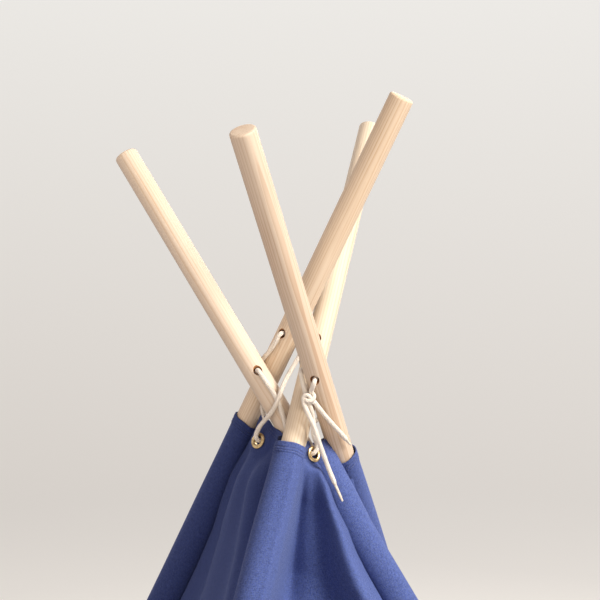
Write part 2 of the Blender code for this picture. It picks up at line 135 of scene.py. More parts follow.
# ---------------------------------------------------------------- material helpers
class Graph:
    """Small helper to write a node tree in a few lines."""

    def __init__(self, name):
        self.m = bpy.data.materials.new(name)
        self.m.use_nodes = True
        self.t = self.m.node_tree
        self.bsdf = self.t.nodes["Principled BSDF"]
        self.n = 0

    def node(self, kind, **settings):
        node = self.t.nodes.new(kind)
        node.location = (-220 * (1 + self.n // 6), -180 * (self.n % 6))
        self.n += 1
        for key, value in settings.items():
            setattr(node, key, value)
        return node

    def put(self, socket, value):
        if isinstance(value, bpy.types.NodeSocket):
            self.t.links.new(value, socket)
        else:
            socket.default_value = value

    def math(self, operation, a, b=0.0, c=0.0, clamp=False):
        node = self.node("ShaderNodeMath", operation=operation, use_clamp=clamp)
        for socket, value in zip(node.inputs, (a, b, c)):
            self.put(socket, value)
        return node.outputs[0]

    def vmath(self, operation, a, b=(0, 0, 0)):
        node = self.node("ShaderNodeVectorMath", operation=operation)
        self.put(node.inputs[0], a)
        self.put(node.inputs[1], b)
        return node.outputs[0]

    def noise(self, vector, scale, detail=2.0, rough=0.5, distort=0.0):
        node = self.node("ShaderNodeTexNoise")
        self.put(node.inputs["Vector"], vector)
        node.inputs["Scale"].default_value = scale
        node.inputs["Detail"].default_value = detail
        node.inputs["Roughness"].default_value = rough
        node.inputs["Distortion"].default_value = distort
        return node.outputs["Fac"]

    def ramp(self, value, stops, smooth=False):
        node = self.node("ShaderNodeValToRGB")
        ramp = node.color_ramp
        if smooth:
            ramp.interpolation = "B_SPLINE"
        while len(ramp.elements) < len(stops):
            ramp.elements.new(0.5)
        for element, (at, colour) in zip(ramp.elements, stops):
            element.position = at
            element.color = (*colour, 1) if len(colour) == 3 else colour
        self.put(node.inputs[0], value)
        return node.outputs[0]

    def span(self, value, a, b, c, d, smooth=True):
        node = self.node("ShaderNodeMapRange", interpolation_type="SMOOTHSTEP" if smooth else "LINEAR")
        self.put(node.inputs["Value"], value)
        for key, v in zip(("From Min", "From Max", "To Min", "To Max"), (a, b, c, d)):
            node.inputs[key].default_value = v
        return node.outputs["Result"]

    def mix(self, fac, a, b, blend="MIX"):
        node = self.node("ShaderNodeMix", data_type="RGBA", blend_type=blend)
        self.put(node.inputs[0], fac)
        self.put(node.inputs[6], a)
        self.put(node.inputs[7], b)
        return node.outputs[2]

    def coords(self, kind="Object"):
        return self.node("ShaderNodeTexCoord").outputs[kind]

    def scaled(self, vector, scale, location=(0, 0, 0), rotation=(0, 0, 0)):
        node = self.node("ShaderNodeMapping")
        self.put(node.inputs["Vector"], vector)
        node.inputs["Location"].default_value = location
        node.inputs["Rotation"].default_value = rotation
        node.inputs["Scale"].default_value = scale
        return node.outputs[0]

    def bump(self, height, distance, strength=1.0, normal=None):
        node = self.node("ShaderNodeBump")
        node.inputs["Strength"].default_value = strength
        node.inputs["Distance"].default_value = distance
        self.put(node.inputs["Height"], height)
        if normal is not None:
            self.put(node.inputs["Normal"], normal)
        return node.outputs[0]

    def finish(self, **inputs):
        for key, value in inputs.items():
            self.put(self.bsdf.inputs[key.replace("_", " ")], value)
        return self.m


def srgb(r, g, b):
    return tuple(c / 255 / 12.92 if c / 255 <= 0.04045 else ((c / 255 + 0.055) / 1.055) ** 2.4 for c in (r, g, b))


def rgba(r, g, b):
    return (*srgb(r, g, b), 1)


def pine(name, pith, pale, late, warm, seed):
    """Pine dowel: long growth-ring streaks along local Z, fine pores, faint resin flecks and end grain."""
    g = Graph(name)
    at = g.coords("Object")
    slow = g.noise(g.scaled(at, (9, 9, 1.1), location=(seed, 0, seed)), 1.0, 3.0, 0.55)
    slow2 = g.noise(g.scaled(at, (14, 14, 1.6), location=(0, seed * 2, 1)), 1.0, 3.0, 0.55)
    sep = g.node("ShaderNodeSeparateXYZ")
    g.put(sep.inputs[0], at)
    x = g.math("ADD", g.math("ADD", sep.outputs[0], pith[0]), g.math("MULTIPLY", g.math("SUBTRACT", slow, 0.5), 0.0120))
    y = g.math("ADD", g.math("ADD", sep.outputs[1], pith[1]), g.math("MULTIPLY", g.math("SUBTRACT", slow2, 0.5), 0.0120))
    dist = g.math("SQRT", g.math("ADD", g.math("MULTIPLY", x, x), g.math("MULTIPLY", y, y)))
    ring = g.math("FRACT", g.math("DIVIDE", dist, 0.0034))
    # a year's wood: pale early wood that darkens slowly, then stops sharply
    band = g.ramp(ring, [(0.0, (0, 0, 0)), (0.55, (0.12, 0.12, 0.12)), (0.86, (0.85, 0.85, 0.85)), (0.93, (1, 1, 1)), (1.0, (0, 0, 0))])
    fibre = g.noise(g.scaled(at, (1500, 1500, 26)), 1.0, 2.0, 0.6)
    streak = g.noise(g.scaled(at, (320, 320, 5), location=(seed, 3, 0)), 1.0, 3.0, 0.6)
    cloud = g.noise(g.scaled(at, (30, 30, 5), location=(2, seed, 0)), 1.0, 2.0, 0.5)
    colour = g.mix(g.math("MULTIPLY", band, g.span(cloud, 0.3, 0.75, 0.34, 0.86)), rgba(*pale), rgba(*late))
    colour = g.mix(g.span(cloud, 0.35, 0.75, 0.0, 0.45), colour, rgba(*warm))
    colour = g.mix(g.span(streak, 0.52, 0.78, 0.0, 0.46), colour, rgba(*late))
    colour = g.mix(g.span(fibre, 0.60, 0.80, 0.0, 0.16), colour, rgba(168, 128, 88))
    height = g.math("ADD", g.math("MULTIPLY", fibre, 0.6), g.math("MULTIPLY", g.math("SUBTRACT", 1.0, band), 0.25))
    rough = g.span(g.math("ADD", fibre, g.math("MULTIPLY", band, -0.3)), 0.1, 0.9, 0.46, 0.62)
    return g.finish(Base_Color=colour, Roughness=rough, Normal=g.bump(height, 0.00022, 0.55), Specular_IOR_Level=0.16)


def canvas(name, base, pitch=0.00075):
    """Plain-weave cotton canvas from metric UVs: interlaced yarns, slubs, soft mottling, painted shade in the hollows
    between the yarns and crease bump.
    """
    g = Graph(name)
    uv = g.coords("UV")
    sep = g.node("ShaderNodeSeparateXYZ")
    g.put(sep.inputs[0], uv)
    wobble = g.noise(g.scaled(uv, (60, 60, 1)), 1.0, 2.0)
    a = g.math("ADD", g.math("DIVIDE", sep.outputs[0], pitch), g.math("MULTIPLY", wobble, 0.9))
    b = g.math("ADD", g.math("DIVIDE", sep.outputs[1], pitch), g.math("MULTIPLY", wobble, 0.9))
    over = g.math("FLOORED_MODULO", g.math("ADD", g.math("FLOOR", a), g.math("FLOOR", b)), 2.0)
    round_a = g.math("SINE", g.math("MULTIPLY", g.math("FRACT", a), math.pi))
    round_b = g.math("SINE", g.math("MULTIPLY", g.math("FRACT", b), math.pi))
    warp = g.math("MULTIPLY", round_a, g.math("POWER", round_b, 0.35))
    weft = g.math("MULTIPLY", round_b, g.math("POWER", round_a, 0.35))
    weave = g.math("ADD", g.math("MULTIPLY", warp, over), g.math("MULTIPLY", weft, g.math("SUBTRACT", 1.0, over)))
    slub_a = g.noise(g.scaled(uv, (1 / pitch, 170, 1)), 1.0, 2.0, 0.65)
    slub_b = g.noise(g.scaled(uv, (170, 1 / pitch, 1), location=(3, 1, 0)), 1.0, 2.0, 0.65)
    slub = g.math("ADD", g.math("MULTIPLY", slub_a, over), g.math("MULTIPLY", slub_b, g.math("SUBTRACT", 1.0, over)))
    mottle = g.noise(g.scaled(uv, (700, 700, 1)), 1.0, 2.0, 0.7)
    cloud = g.noise(g.scaled(uv, (8, 4, 1)), 1.0, 2.0, 0.5)
    dark, light = (tuple(min(255, c * f) for c in base) for f in (0.74, 1.23))
    colour = g.mix(g.span(slub, 0.28, 0.74, 0.0, 1.0), rgba(*dark), rgba(*light))
    colour = g.mix(g.span(mottle, 0.30, 0.72, 0.0, 1.0), colour, rgba(*light), "SOFT_LIGHT")
    # painted shade: where the weave is low, between the yarns, the colour goes darker
    colour = g.mix(g.span(weave, 0.10, 0.75, 0.40, 0.0), colour, rgba(*(c * 0.55 for c in base)))
    colour = g.mix(g.span(cloud, 0.35, 0.75, 0.0, 0.12), colour, rgba(*light))
    creases = g.noise(g.scaled(uv, (46, 16, 1)), 1.0, 2.0, 0.5, 0.4)
    normal = g.bump(creases, 0.0020, 0.14)
    normal = g.bump(mottle, 0.00025, 0.35, normal)
    normal = g.bump(weave, 0.00022, 0.70, normal)
    rough = g.span(slub, 0.2, 0.8, 0.95, 0.80)
    return g.finish(Base_Color=colour, Roughness=rough, Normal=normal, Specular_IOR_Level=0.18, Sheen_Weight=0.22,
                    Sheen_Roughness=0.45, Sheen_Tint=rgba(170, 182, 210))


def metal(name, base, tarnish, rough_low, rough_high, brushed=None):
    g = Graph(name)
    at = g.coords("Object")
    patch = g.noise(g.scaled(at, (240, 240, 240)), 1.0, 3.0, 0.6)
    fine = g.noise(g.scaled(at, brushed or (2600, 2600, 2600)), 1.0, 2.0, 0.6)
    colour = g.mix(g.span(patch, 0.35, 0.72, 0.0, 0.65), rgba(*base), rgba(*tarnish))
    rough = g.span(g.math("ADD", patch, g.math("MULTIPLY", fine, 0.4)), 0.3, 1.1, rough_low, rough_high)
    return g.finish(Base_Color=colour, Metallic=1.0, Roughness=rough, Normal=g.bump(fine, 0.00008, 0.35))


def cotton(name, base, shade, across, along):
    """Braided cotton cord from UVs, with painted shade in the grooves between its strands: x runs along the cord in
    metres, y once round it.
    """
    g = Graph(name)
    uv = g.coords("UV")
    sep = g.node("ShaderNodeSeparateXYZ")
    g.put(sep.inputs[0], uv)
    turn = g.math("MULTIPLY", sep.outputs[1], float(across))
    run = g.math("MULTIPLY", sep.outputs[0], along)
    one = g.math("ADD", turn, run)
    two = g.math("SUBTRACT", turn, run)
    over = g.math("FLOORED_MODULO", g.math("ADD", g.math("FLOOR", one), g.math("FLOOR", two)), 2.0)
    ra = g.math("SINE", g.math("MULTIPLY", g.math("FRACT", one), math.pi))
    rb = g.math("SINE", g.math("MULTIPLY", g.math("FRACT", two), math.pi))
    strand = g.math("ADD", g.math("MULTIPLY", g.math("MULTIPLY", ra, g.math("POWER", rb, 0.4)), over),
                    g.math("MULTIPLY", g.math("MULTIPLY", rb, g.math("POWER", ra, 0.4)), g.math("SUBTRACT", 1.0, over)))
    hair = g.noise(g.scaled(uv, (1800, 60, 1)), 1.0, 2.0, 0.6)
    cloud = g.noise(g.scaled(uv, (110, 3, 1)), 1.0, 2.0, 0.6)
    # painted shade: the grooves between the strands take the shade colour; below, the same colour also darkens random
    # patches of tone
    colour = g.mix(g.span(strand, 0.05, 0.75, 1.0, 0.0), rgba(*base), rgba(*shade))
    colour = g.mix(g.span(hair, 0.45, 0.80, 0.0, 0.35), colour, rgba(250, 245, 236))
    colour = g.mix(g.span(cloud, 0.40, 0.75, 0.0, 0.35), colour, rgba(*shade))
    normal = g.bump(strand, 0.00055, 0.8)
    normal = g.bump(hair, 0.00012, 0.5, normal)
    return g.finish(Base_Color=colour, Roughness=0.88, Normal=normal, Specular_IOR_Level=0.2, Sheen_Weight=0.18, Sheen_Roughness=0.5)


BLUE = (93, 106, 150)
WOOD = {
    "front_left": pine("pine_front_left", (0.046, 0.021), (212, 197, 174), (184, 152, 116), (205, 183, 154), 1.0),
    "front_right": pine("pine_front_right", (-0.039, 0.031), (207, 189, 168), (180, 149, 115), (201, 180, 153), 4.0),
    "back_right": pine("pine_back_right", (0.034, -0.032), (203, 184, 161), (163, 127, 96), (193, 166, 139), 9.0),
    "back_left": pine("pine_back_left", (-0.019, -0.016), (210, 191, 166), (172, 133, 94), (202, 177, 147), 13.0),
}
CANVAS = canvas("canvas_blue", BLUE)
# painted shade: the inner side of the cover is the same canvas painted 10% darker
CANVAS_IN_SHADED = canvas("canvas_blue_inside_shaded", tuple(c * 0.90 for c in BLUE))
THREAD = cotton("thread_blue", (112, 122, 170), (58, 66, 112), 3, 900)
# the drilled hole's walls: darker brown wood, partly the end grain's own colour and partly painted shade in the bore
SHADED_HOLE_WOOD = pine("pine_drilled_shaded", (0.002, 0.001), (168, 122, 82), (120, 78, 48), (140, 92, 58), 17.0)
BRASS = metal("antique_brass", (226, 198, 150), (158, 122, 78), 0.20, 0.38)
STEEL = metal("brushed_steel", (176, 177, 180), (140, 141, 144), 0.25, 0.45, (2600, 2600, 60))
CORD = cotton("cotton_cord", (240, 231, 217), (190, 176, 156), 8, 330)
TIP = cotton("cotton_tip", (236, 226, 208), (196, 180, 156), 2, 900)


# ---------------------------------------------------------------- mesh helpers
def new_object(name, mesh, *materials):
    obj = bpy.data.objects.new(name, mesh)
    scene.collection.objects.link(obj)
    for m in materials:
        mesh.materials.append(m)
    return obj


def unit(v):
    return v / np.maximum(np.linalg.norm(v, axis=-1, keepdims=True), 1e-12)


def arr(v):
    return np.array(v, float)


def lathe(profile, sides):
    """Closed or open profile of (radius, height) turned about Z: vertices, faces."""
    n = len(profile)
    turn = np.linspace(0, 2 * math.pi, sides, endpoint=False)
    verts = [(r * math.cos(a), r * math.sin(a), z) for a in turn for r, z in profile]
    faces = []
    for i in range(sides):
        j = (i + 1) % sides
        for k in range(n - 1):
            faces.append((i * n + k, i * n + k + 1, j * n + k + 1, j * n + k))
    return verts, faces


def applied(obj):
    """The object's mesh with its modifiers in it."""
    graph = bpy.context.evaluated_depsgraph_get()
    mesh = bpy.data.meshes.new_from_object(obj.evaluated_get(graph))
    obj.modifiers.clear()
    old, obj.data = obj.data, mesh
    bpy.data.meshes.remove(old)
    return obj


def arc(x0, z0, r, a0, a1, n):
    """Points of an arc in a profile; angles in degrees."""
    return [(x0 + r * math.cos(math.radians(a0 + (a1 - a0) * i / n)), z0 + r * math.sin(math.radians(a0 + (a1 - a0) * i / n))) for i in range(n + 1)]


# ---------------------------------------------------------------- poles
def drilled_pole(name, p):
    """The upper half of a pole: rounded and slightly crowned end, drilled cross hole with softened rims."""
    k, rt = 0.0030, TENON_D / 2
    top = [(0.0, POLE_LEN + 0.00025), (R * 0.5, POLE_LEN + 0.0002)]
    top += [(R - k + r, POLE_LEN - k + z) for r, z in ((k * math.sin(math.radians(a)), k * math.cos(math.radians(a))) for a in range(0, 91, 15))]
    levels = [POLE_LEN - k - 0.004 * i for i in range(1, 4)]
    levels += list(np.arange(POLE_LEN - 0.03, p.hole + 0.016, -0.03))
    levels += list(np.arange(p.hole + 0.0135, p.hole - 0.0136, -0.0015))
    levels += list(np.arange(p.hole - 0.03, JOINT_AT + TENON_LEN + 0.01, -0.05))
    profile = top + [(R, z) for z in levels] + [(R, JOINT_AT + TENON_LEN), (rt, JOINT_AT + TENON_LEN), (rt, JOINT_AT + 0.0012),
                                                (rt - 0.001, JOINT_AT + 0.0002), (0.0, JOINT_AT + 0.0002)]
    sides = 64
    bm = bmesh.new()
    rings = []
    for r, z in profile:
        if r == 0:
            rings.append([bm.verts.new((0, 0, z - JOINT_AT))])
        else:
            rings.append([bm.verts.new((r * math.cos(2 * math.pi * i / sides), r * math.sin(2 * math.pi * i / sides), z - JOINT_AT)) for i in range(sides)])
    for lower, upper in zip(rings[1:], rings):
        for i in range(sides):
            j = (i + 1) % sides
            if len(upper) == 1:
                bm.faces.new((lower[i], lower[j], upper[0]))
            elif len(lower) == 1:
                bm.faces.new((upper[j], upper[i], lower[0]))
            else:
                bm.faces.new((lower[i], lower[j], upper[j], upper[i]))
    bmesh.ops.recalc_face_normals(bm, faces=bm.faces)
    mesh = bpy.data.meshes.new("wood_upper_" + name)
    bm.to_mesh(mesh)
    bm.free()
    obj = new_object("wood_upper_" + name, mesh, WOOD[name], SHADED_HOLE_WOOD)
    obj.matrix_world = Matrix.Translation(p.at(JOINT_AT)) @ p.frame.to_4x4()
    # the drill, with a slight countersink at both mouths
    rh = HOLE_D / 2
    verts, faces = lathe([(0, 0.03), (rh + 0.0022, 0.03), (rh + 0.0022, R + 0.0002), (rh + 0.0008, R - 0.0008), (rh, R - 0.0022), (rh, -R + 0.0022),
                          (rh + 0.0008, -R + 0.0008), (rh + 0.0022, -R - 0.0002), (rh + 0.0022, -0.03), (0, -0.03)], 40)
    drill_mesh = bpy.data.meshes.new("drill")
    drill_mesh.from_pydata(verts, [], faces)
    bm = bmesh.new()
    bm.from_mesh(drill_mesh)
    bmesh.ops.remove_doubles(bm, verts=bm.verts, dist=1e-7)
    bmesh.ops.recalc_face_normals(bm, faces=bm.faces)
    bm.to_mesh(drill_mesh)
    bm.free()
    drill = new_object("drill", drill_mesh, WOOD[name], SHADED_HOLE_WOOD)
    # the bore's walls take the darker wood: end grain and painted shade
    drill_mesh.polygons.foreach_set("material_index", [1] * len(drill_mesh.polygons))
    drill.matrix_world = Matrix.Translation(p.at(p.hole)) @ p.frame.to_4x4() @ Matrix.Rotation(math.radians(p.roll), 4, "Z") @ Matrix.Rotation(math.pi / 2, 4, "Y")
    cut = obj.modifiers.new("hole", "BOOLEAN")
    cut.operation, cut.solver, cut.object = "DIFFERENCE", "EXACT", drill
    bpy.context.view_layer.update()
    applied(obj)
    bpy.data.objects.remove(drill)
    obj.data.shade_smooth()
    obj.data.set_sharp_from_angle(angle=math.radians(32))
    return obj


for name, p in P.items():
    pole = drilled_pole(name, p)
    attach(pole, LEG[name])
    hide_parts("pole_upper_" + name)
    for node, look in (("pole_lower_" + name, WOOD[name]), ("pole_joiner_" + name, STEEL)):
        NODES[node].data.materials.clear()
        NODES[node].data.materials.append(look)


# ---------------------------------------------------------------- cord: the same route as the model's
def spline_points(points, step):
    """Points at even steps along a smooth curve through the given ones."""
    pts = [Vector(q) for q in points]
    ext = [pts[0] * 2 - pts[1]] + pts + [pts[-1] * 2 - pts[-2]]
    fine = []
    for i in range(1, len(ext) - 2):
        p0, p1, p2, p3 = ext[i - 1:i + 3]
        t0, t1 = 0.0, (p1 - p0).length ** 0.5
        t2 = t1 + (p2 - p1).length ** 0.5
        t3 = t2 + (p3 - p2).length ** 0.5
        for k in range(24):
            t = t1 + (t2 - t1) * k / 24
            a1 = p0 * ((t1 - t) / (t1 - t0)) + p1 * ((t - t0) / (t1 - t0))
            a2 = p1 * ((t2 - t) / (t2 - t1)) + p2 * ((t - t1) / (t2 - t1))
            a3 = p2 * ((t3 - t) / (t3 - t2)) + p3 * ((t - t2) / (t3 - t2))
            b1 = a1 * ((t2 - t) / (t2 - t0)) + a2 * ((t - t0) / (t2 - t0))
            b2 = a2 * ((t3 - t) / (t3 - t1)) + a3 * ((t - t1) / (t3 - t1))
            fine.append(b1 * ((t2 - t) / (t2 - t1)) + b2 * ((t - t1) / (t2 - t1)))
    fine.append(pts[-1])
    total = [0.0]
    for q, r in zip(fine, fine[1:]):
        total.append(total[-1] + (r - q).length)
    n = max(2, round(total[-1] / step))
    out, j = [], 0
    for i in range(n + 1):
        want = total[-1] * i / n
        while j < len(total) - 2 and total[j + 1] < want:
            j += 1
        f = (want - total[j]) / max(1e-9, total[j + 1] - total[j])
        out.append(fine[j].lerp(fine[j + 1], f))
    return out, total[-1]


def tangent(a, b, sa, sb, lift):
    """The outer line that touches both sleeves at these two positions: its two ends and its outward normal."""
    pa, pb = P[a].at(sa), P[b].at(sb)
    outward = (pa + pb) / 2 - Vector((-0.03, 0.0, pa.z))
    qa, qb = pa, pb
    for _ in range(6):
        along_line = qb - qa
        na, nb = (along_line.cross(P[k].d).normalized() for k in (a, b))
        if (na + nb).dot(outward) < 0:
            na, nb = -na, -nb
        qa, qb = pa + na * lift, pb + nb * lift
    return qa, qb, (na + nb).normalized()


def cloth_point(a, b, low, high, lift, bow, peak, peak_at, u, w):
    """A point of the model's panel: u from pole a's sleeve to pole b's, w from the lower edge to the upper one."""
    rise = peak * w ** 6 * max(0.0, 1 - abs(u - peak_at) / max(peak_at, 1 - peak_at))
    sa = low[0] + (high[0] - low[0]) * w + rise
    sb = low[1] + (high[1] - low[1]) * w + rise
    pa, pb, n = tangent(a, b, sa, sb, lift)
    width = (pb - pa).length
    return pa.lerp(pb, u) - n * (bow * 4 * u * (1 - u) * min(1.0, width / 0.4) * (0.4 + 0.6 * w))


HEM = -0.008
SHAPES = {
    "left": ("back_left", "front_left", (HEM, HEM), (1.318, 1.300), LIFT, PANEL_BOW, 0.034, 0.5),
    "back": ("back_right", "back_left", (HEM, HEM), (1.312, 1.318), LIFT, PANEL_BOW, 0.020, 0.5),
    "right": ("front_right", "back_right", (HEM, HEM), (1.280, 1.292), LIFT, PANEL_BOW, 0.004, 0.5),
    "front": ("front_left", "front_right", (1.030, 1.030), (1.300, 1.312), LIFT, 0.004, 0.026, 0.36),
}
EYELETS = {"left": (0.53, 0.978), "back": (0.5, 0.990), "right": (0.40, 0.965), "front": (0.42, 0.960)}
eyelet_frame = {}
for side, (u, w) in EYELETS.items():
    c, c_u, c_w = (cloth_point(*SHAPES[side], *q) for q in ((u, w), (u + 0.01, w), (u, w - 0.002)))
    up = (c - c_w).normalized()
    n = (c_u - c).cross(up).normalized()
    if n.dot(c - Vector((-0.03, 0, c.z))) < 0:
        n = -n
    eyelet_frame[side] = (c, n, n.cross(up.cross(n)).normalized())


# the cloth, and its brass with it, stands a little turned at two eyelets, towards the free edge of its fold
eyelet_look = {}
for side, (c, n, up) in eyelet_frame.items():
    turn = Matrix.Rotation(math.radians({"left": 20, "front": -22}.get(side, 0)), 3, "Z")
    n2 = (turn @ n).normalized()
    u2 = (turn @ up).normalized()
    if side == "front":      # a little further from the sleeve beside it
        away = c - P["front_left"].at((c - P["front_left"].base).dot(P["front_left"].d))
        c = c + away.normalized() * 0.0014
    eyelet_look[side] = (c, n2, u2)


def clear_of_poles(q, r):
    for p in P.values():
        s = (q - p.base).dot(p.d)
        off = q - p.at(s)
        need = r + 0.0008 + (R_OUT if s < p.sleeve_top + 0.006 else R)
        if off.length >= need:
            continue
        hole = p.at(p.hole)
        way = p.around(p.hole, p.roll, 1.0) - hole
        if (q - hole).cross(way).length < 0.0016:
            continue
        q = q + off.normalized() * (need - off.length)
    return q


def in_hole(q):
    for p in P.values():
        hole = p.at(p.hole)
        way = p.around(p.hole, p.roll, 1.0) - hole
        if (q - hole).length < 0.0195 and (q - hole).cross(way).length < 0.0016:
            return True
    return any((q - c).length < 0.0095 for c, n, up in eyelet_frame.values())


def settled(points, r):
    """The cord's middle line: drawn smooth through the given points and pushed clear of the poles."""
    line, _ = spline_points(points, 0.0025)
    for turn in range(40):
        line = [line[0]] + [clear_of_poles(q, r) for q in line[1:-1]] + [line[-1]]
        if turn < 34:
            line = [line[0]] + [b if in_hole(b) else (a + b * 2 + c) / 4 for a, b, c in zip(line, line[1:], line[2:])] + [line[-1]]
    return line


FL, FR, BR, BL = (P[n] for n in ("front_left", "front_right", "back_right", "back_left"))
KNOT = Vector((-0.0476, -0.0940, 1.2061))
TO_RIGHT, TO_FRONT = Vector((0.9544, -0.2983, 0)), Vector((-0.2983, -0.9544, 0))


def knot(right=0.0, out=0.0, up=0.0):
    return KNOT + TO_RIGHT * right + TO_FRONT * out + Vector((0, 0, up))


def eye(side, out=0.0, up=0.0, across=0.0):
    c, n, u = eyelet_frame[side]
    return c + n * out + u * up + u.cross(n) * across


def through(side, inward=True):
    bends = [eye(side, *q) for q in ((0.0088, 0.0150), (0.0084, 0.0090), (0.0058, 0.0030), (0, 0), (-0.0060, 0.0030), (-0.0092, 0.0090),
                                     (-0.0094, 0.0150))]
    return bends if inward else bends[::-1]


ROUTES = {
    "tie_cord_loop": [
        knot(0.0030, 0.0015, 0.0074), knot(0.0040, 0.0015, 0.0110), BR.around(1.4680, 99, 0.0225), BR.around(1.4709, 101.3, 0.0165),
        BR.around(1.4709, 101.3, 0.0), BR.around(1.4709, -78.7, 0.0165), BR.around(1.4715, -73, 0.0220), BR.around(1.4730, -48, 0.0205),
        BR.around(1.4745, -18, 0.0200), BR.around(1.4765, 14, 0.0202), BR.around(1.4765, 36, 0.0208), knot(-0.0063, -0.0060, 0.0265),
        knot(-0.0066, -0.0010, 0.0170), knot(-0.0048, 0.0, 0.0100), knot(-0.0040, 0.0, 0.0070),
    ],
    "tie_tail_long": [
        knot(-0.0058, 0.0030, -0.0060), knot(-0.0050, 0.0040, -0.0130), (-0.0440, -0.0965, 1.1780), (-0.0356, -0.0945, 1.1539),
        (-0.0244, -0.0890, 1.1265), (-0.0132, -0.0880, 1.0992), (-0.0045, -0.0950, 1.0755),
    ],
    "tie_tail_short": [
        knot(0.0070, -0.0010, -0.0045), knot(0.0105, -0.0005, -0.0095), (-0.0180, -0.0880, 1.1755), (-0.0010, -0.0810, 1.1595), (0.0150, -0.0715, 1.1430),
    ],
    "lacing_cord": [
        knot(0.0008, -0.0010, -0.0066), knot(0.0030, 0.0, -0.0140), (-0.0375, -0.0850, 1.1788), (-0.0410, -0.0880, 1.1560), *through("front"),
        (-0.0527, -0.0535, 1.1420), (-0.0611, -0.0428, 1.1660), (-0.0655, -0.0385, 1.1834),
        (-0.0705, -0.0305, 1.2023), (-0.0784, -0.0250, 1.2164), (-0.0866, -0.0200, 1.2304), FR.around(1.4583, -145.8, 0.0165),
        FR.around(1.4583, 34.2, 0.0), FR.around(1.4575, 37, 0.0160), FR.around(1.4560, 46, 0.0222), (-0.0827, 0.0240, 1.2370), (-0.0777, 0.0188, 1.2475),
        (-0.0727, 0.0088, 1.2550), (-0.0682, 0.0020, 1.2628), (-0.0615, -0.0060, 1.2774), BL.around(1.4670, -5.5, 0.0175),
        BL.around(1.4670, -5.5, 0.0), BL.around(1.4670, 174.5, 0.0190), BL.around(1.4600, 172, 0.0260), (-0.0150, 0.0310, 1.2200), *through("back"),
        (-0.0210, 0.0050, 1.1900), (-0.0120, 0.0055, 1.2450),
        FL.around(1.4590, 108, 0.0200), FL.around(1.4600, 108, 0.0), FL.around(1.4600, -72, 0.0175), FL.around(1.4560, -92, 0.0225),
        (-0.0390, -0.0290, 1.2553), (-0.0604, -0.0275, 1.2200), (-0.0700, -0.0370, 1.2014), (-0.0770, -0.0345, 1.1850), *through("left"),
        (-0.0787, 0.0050, 1.1795), (-0.0787, 0.0140, 1.1960), (-0.0690, 0.0155, 1.2050),
        (-0.0540, 0.0090, 1.1900), (-0.0380, -0.0020, 1.1720), (-0.0200, -0.0120, 1.1640), (-0.0060, -0.0190, 1.1740), (0.0000, -0.0250, 1.2000),
        (-0.0200, -0.0600, 1.2330), (-0.0360, -0.0680, 1.2250), knot(-0.0010, -0.0125, 0.0050), knot(-0.0010, -0.0075, 0.0015),
    ],
}


def resampled(line, step):
    """A smooth line at even steps through a dense one."""
    pts = arr([tuple(q) for q in line])
    run = np.concatenate([[0], np.cumsum(np.linalg.norm(np.diff(pts, axis=0), axis=1))])
    at = np.linspace(0, run[-1], max(3, int(round(run[-1] / step)) + 1))
    out = np.stack([np.interp(at, run, pts[:, k]) for k in range(3)], axis=1)
    for _ in range(3):
        out[1:-1] = (out[:-2] + 2 * out[1:-1] + out[2:]) / 4
    return out, at, run[-1]


def tube_mesh(path, radii, sides, first=0.0, start_round=True, end_round=True):
    """A closed tube round a line: vertices, faces, UVs by face corner (x metres along, y once round)."""
    n = len(path)
    way = unit(np.gradient(path, axis=0))
    side = np.cross(way[0], (0, 0, 1.0) if abs(way[0][2]) < 0.9 else (1.0, 0, 0))
    side = side / np.linalg.norm(side)
    run = np.concatenate([[0], np.cumsum(np.linalg.norm(np.diff(path, axis=0), axis=1))]) + first
    verts, sides_at = [], []
    for i in range(n):
        side = side - way[i] * side.dot(way[i])
        side = side / np.linalg.norm(side)
        sides_at.append(side)
        other = np.cross(way[i], side)
        for k in range(sides):
            a = 2 * math.pi * k / sides
            verts.append(path[i] + (side * math.cos(a) + other * math.sin(a)) * radii[i])
    faces, uvs = [], []
    for i in range(n - 1):
        for k in range(sides):
            m = (k + 1) % sides
            faces.append((i * sides + k, i * sides + m, (i + 1) * sides + m, (i + 1) * sides + k))
            uvs.append(((run[i], k / sides), (run[i], (k + 1) / sides), (run[i + 1], (k + 1) / sides), (run[i + 1], k / sides)))
    for end, sign, rounded in ((0, -1, start_round), (n - 1, 1, end_round)):
        base = end * sides
        ring = [base + k for k in range(sides)]
        if rounded:
            r = radii[end]
            for a in (35, 68):
                fresh = len(verts)
                c = path[end] + way[end] * sign * r * math.sin(math.radians(a)) * 0.6
                other = np.cross(way[end], sides_at[end])
                for k in range(sides):
                    t = 2 * math.pi * k / sides
                    verts.append(c + (sides_at[end] * math.cos(t) + other * math.sin(t)) * r * math.cos(math.radians(a)))
                for k in range(sides):
                    m = (k + 1) % sides
                    quad = (ring[k], ring[m], fresh + m, fresh + k)
                    faces.append(quad if sign > 0 else quad[::-1])
                    x0, x1 = run[end], run[end] + sign * 0.001
                    corner = ((x0, k / sides), (x0, (k + 1) / sides), (x1, (k + 1) / sides), (x1, k / sides))
                    uvs.append(corner if sign > 0 else corner[::-1])
                ring = [fresh + k for k in range(sides)]
        faces.append(tuple(ring) if sign > 0 else tuple(ring[::-1]))
        uvs.append(tuple((run[end], k / sides) for k in range(sides)))
    return verts, faces, uvs


def mesh_of(name, verts, faces, uvs, smooth_angle=None):
    mesh = bpy.data.meshes.new(name)
    mesh.from_pydata([tuple(map(float, v)) for v in verts], [], faces)
    layer = mesh.uv_layers.new(name="UVMap")
    flat = [c for f in uvs for q in f for c in q]
    layer.data.foreach_set("uv", np.array(flat, np.float32))
    mesh.shade_smooth()
    if smooth_angle:
        mesh.set_sharp_from_angle(angle=math.radians(smooth_angle))
    return mesh


def joined(parts):
    """Several (vertices, faces, uvs) as one."""
    verts, faces, uvs = [], [], []
    for v, f, u in parts:
        base = len(verts)
        verts += list(v)
        faces += [tuple(i + base for i in q) for q in f]
        uvs += list(u)
    return verts, faces, uvs


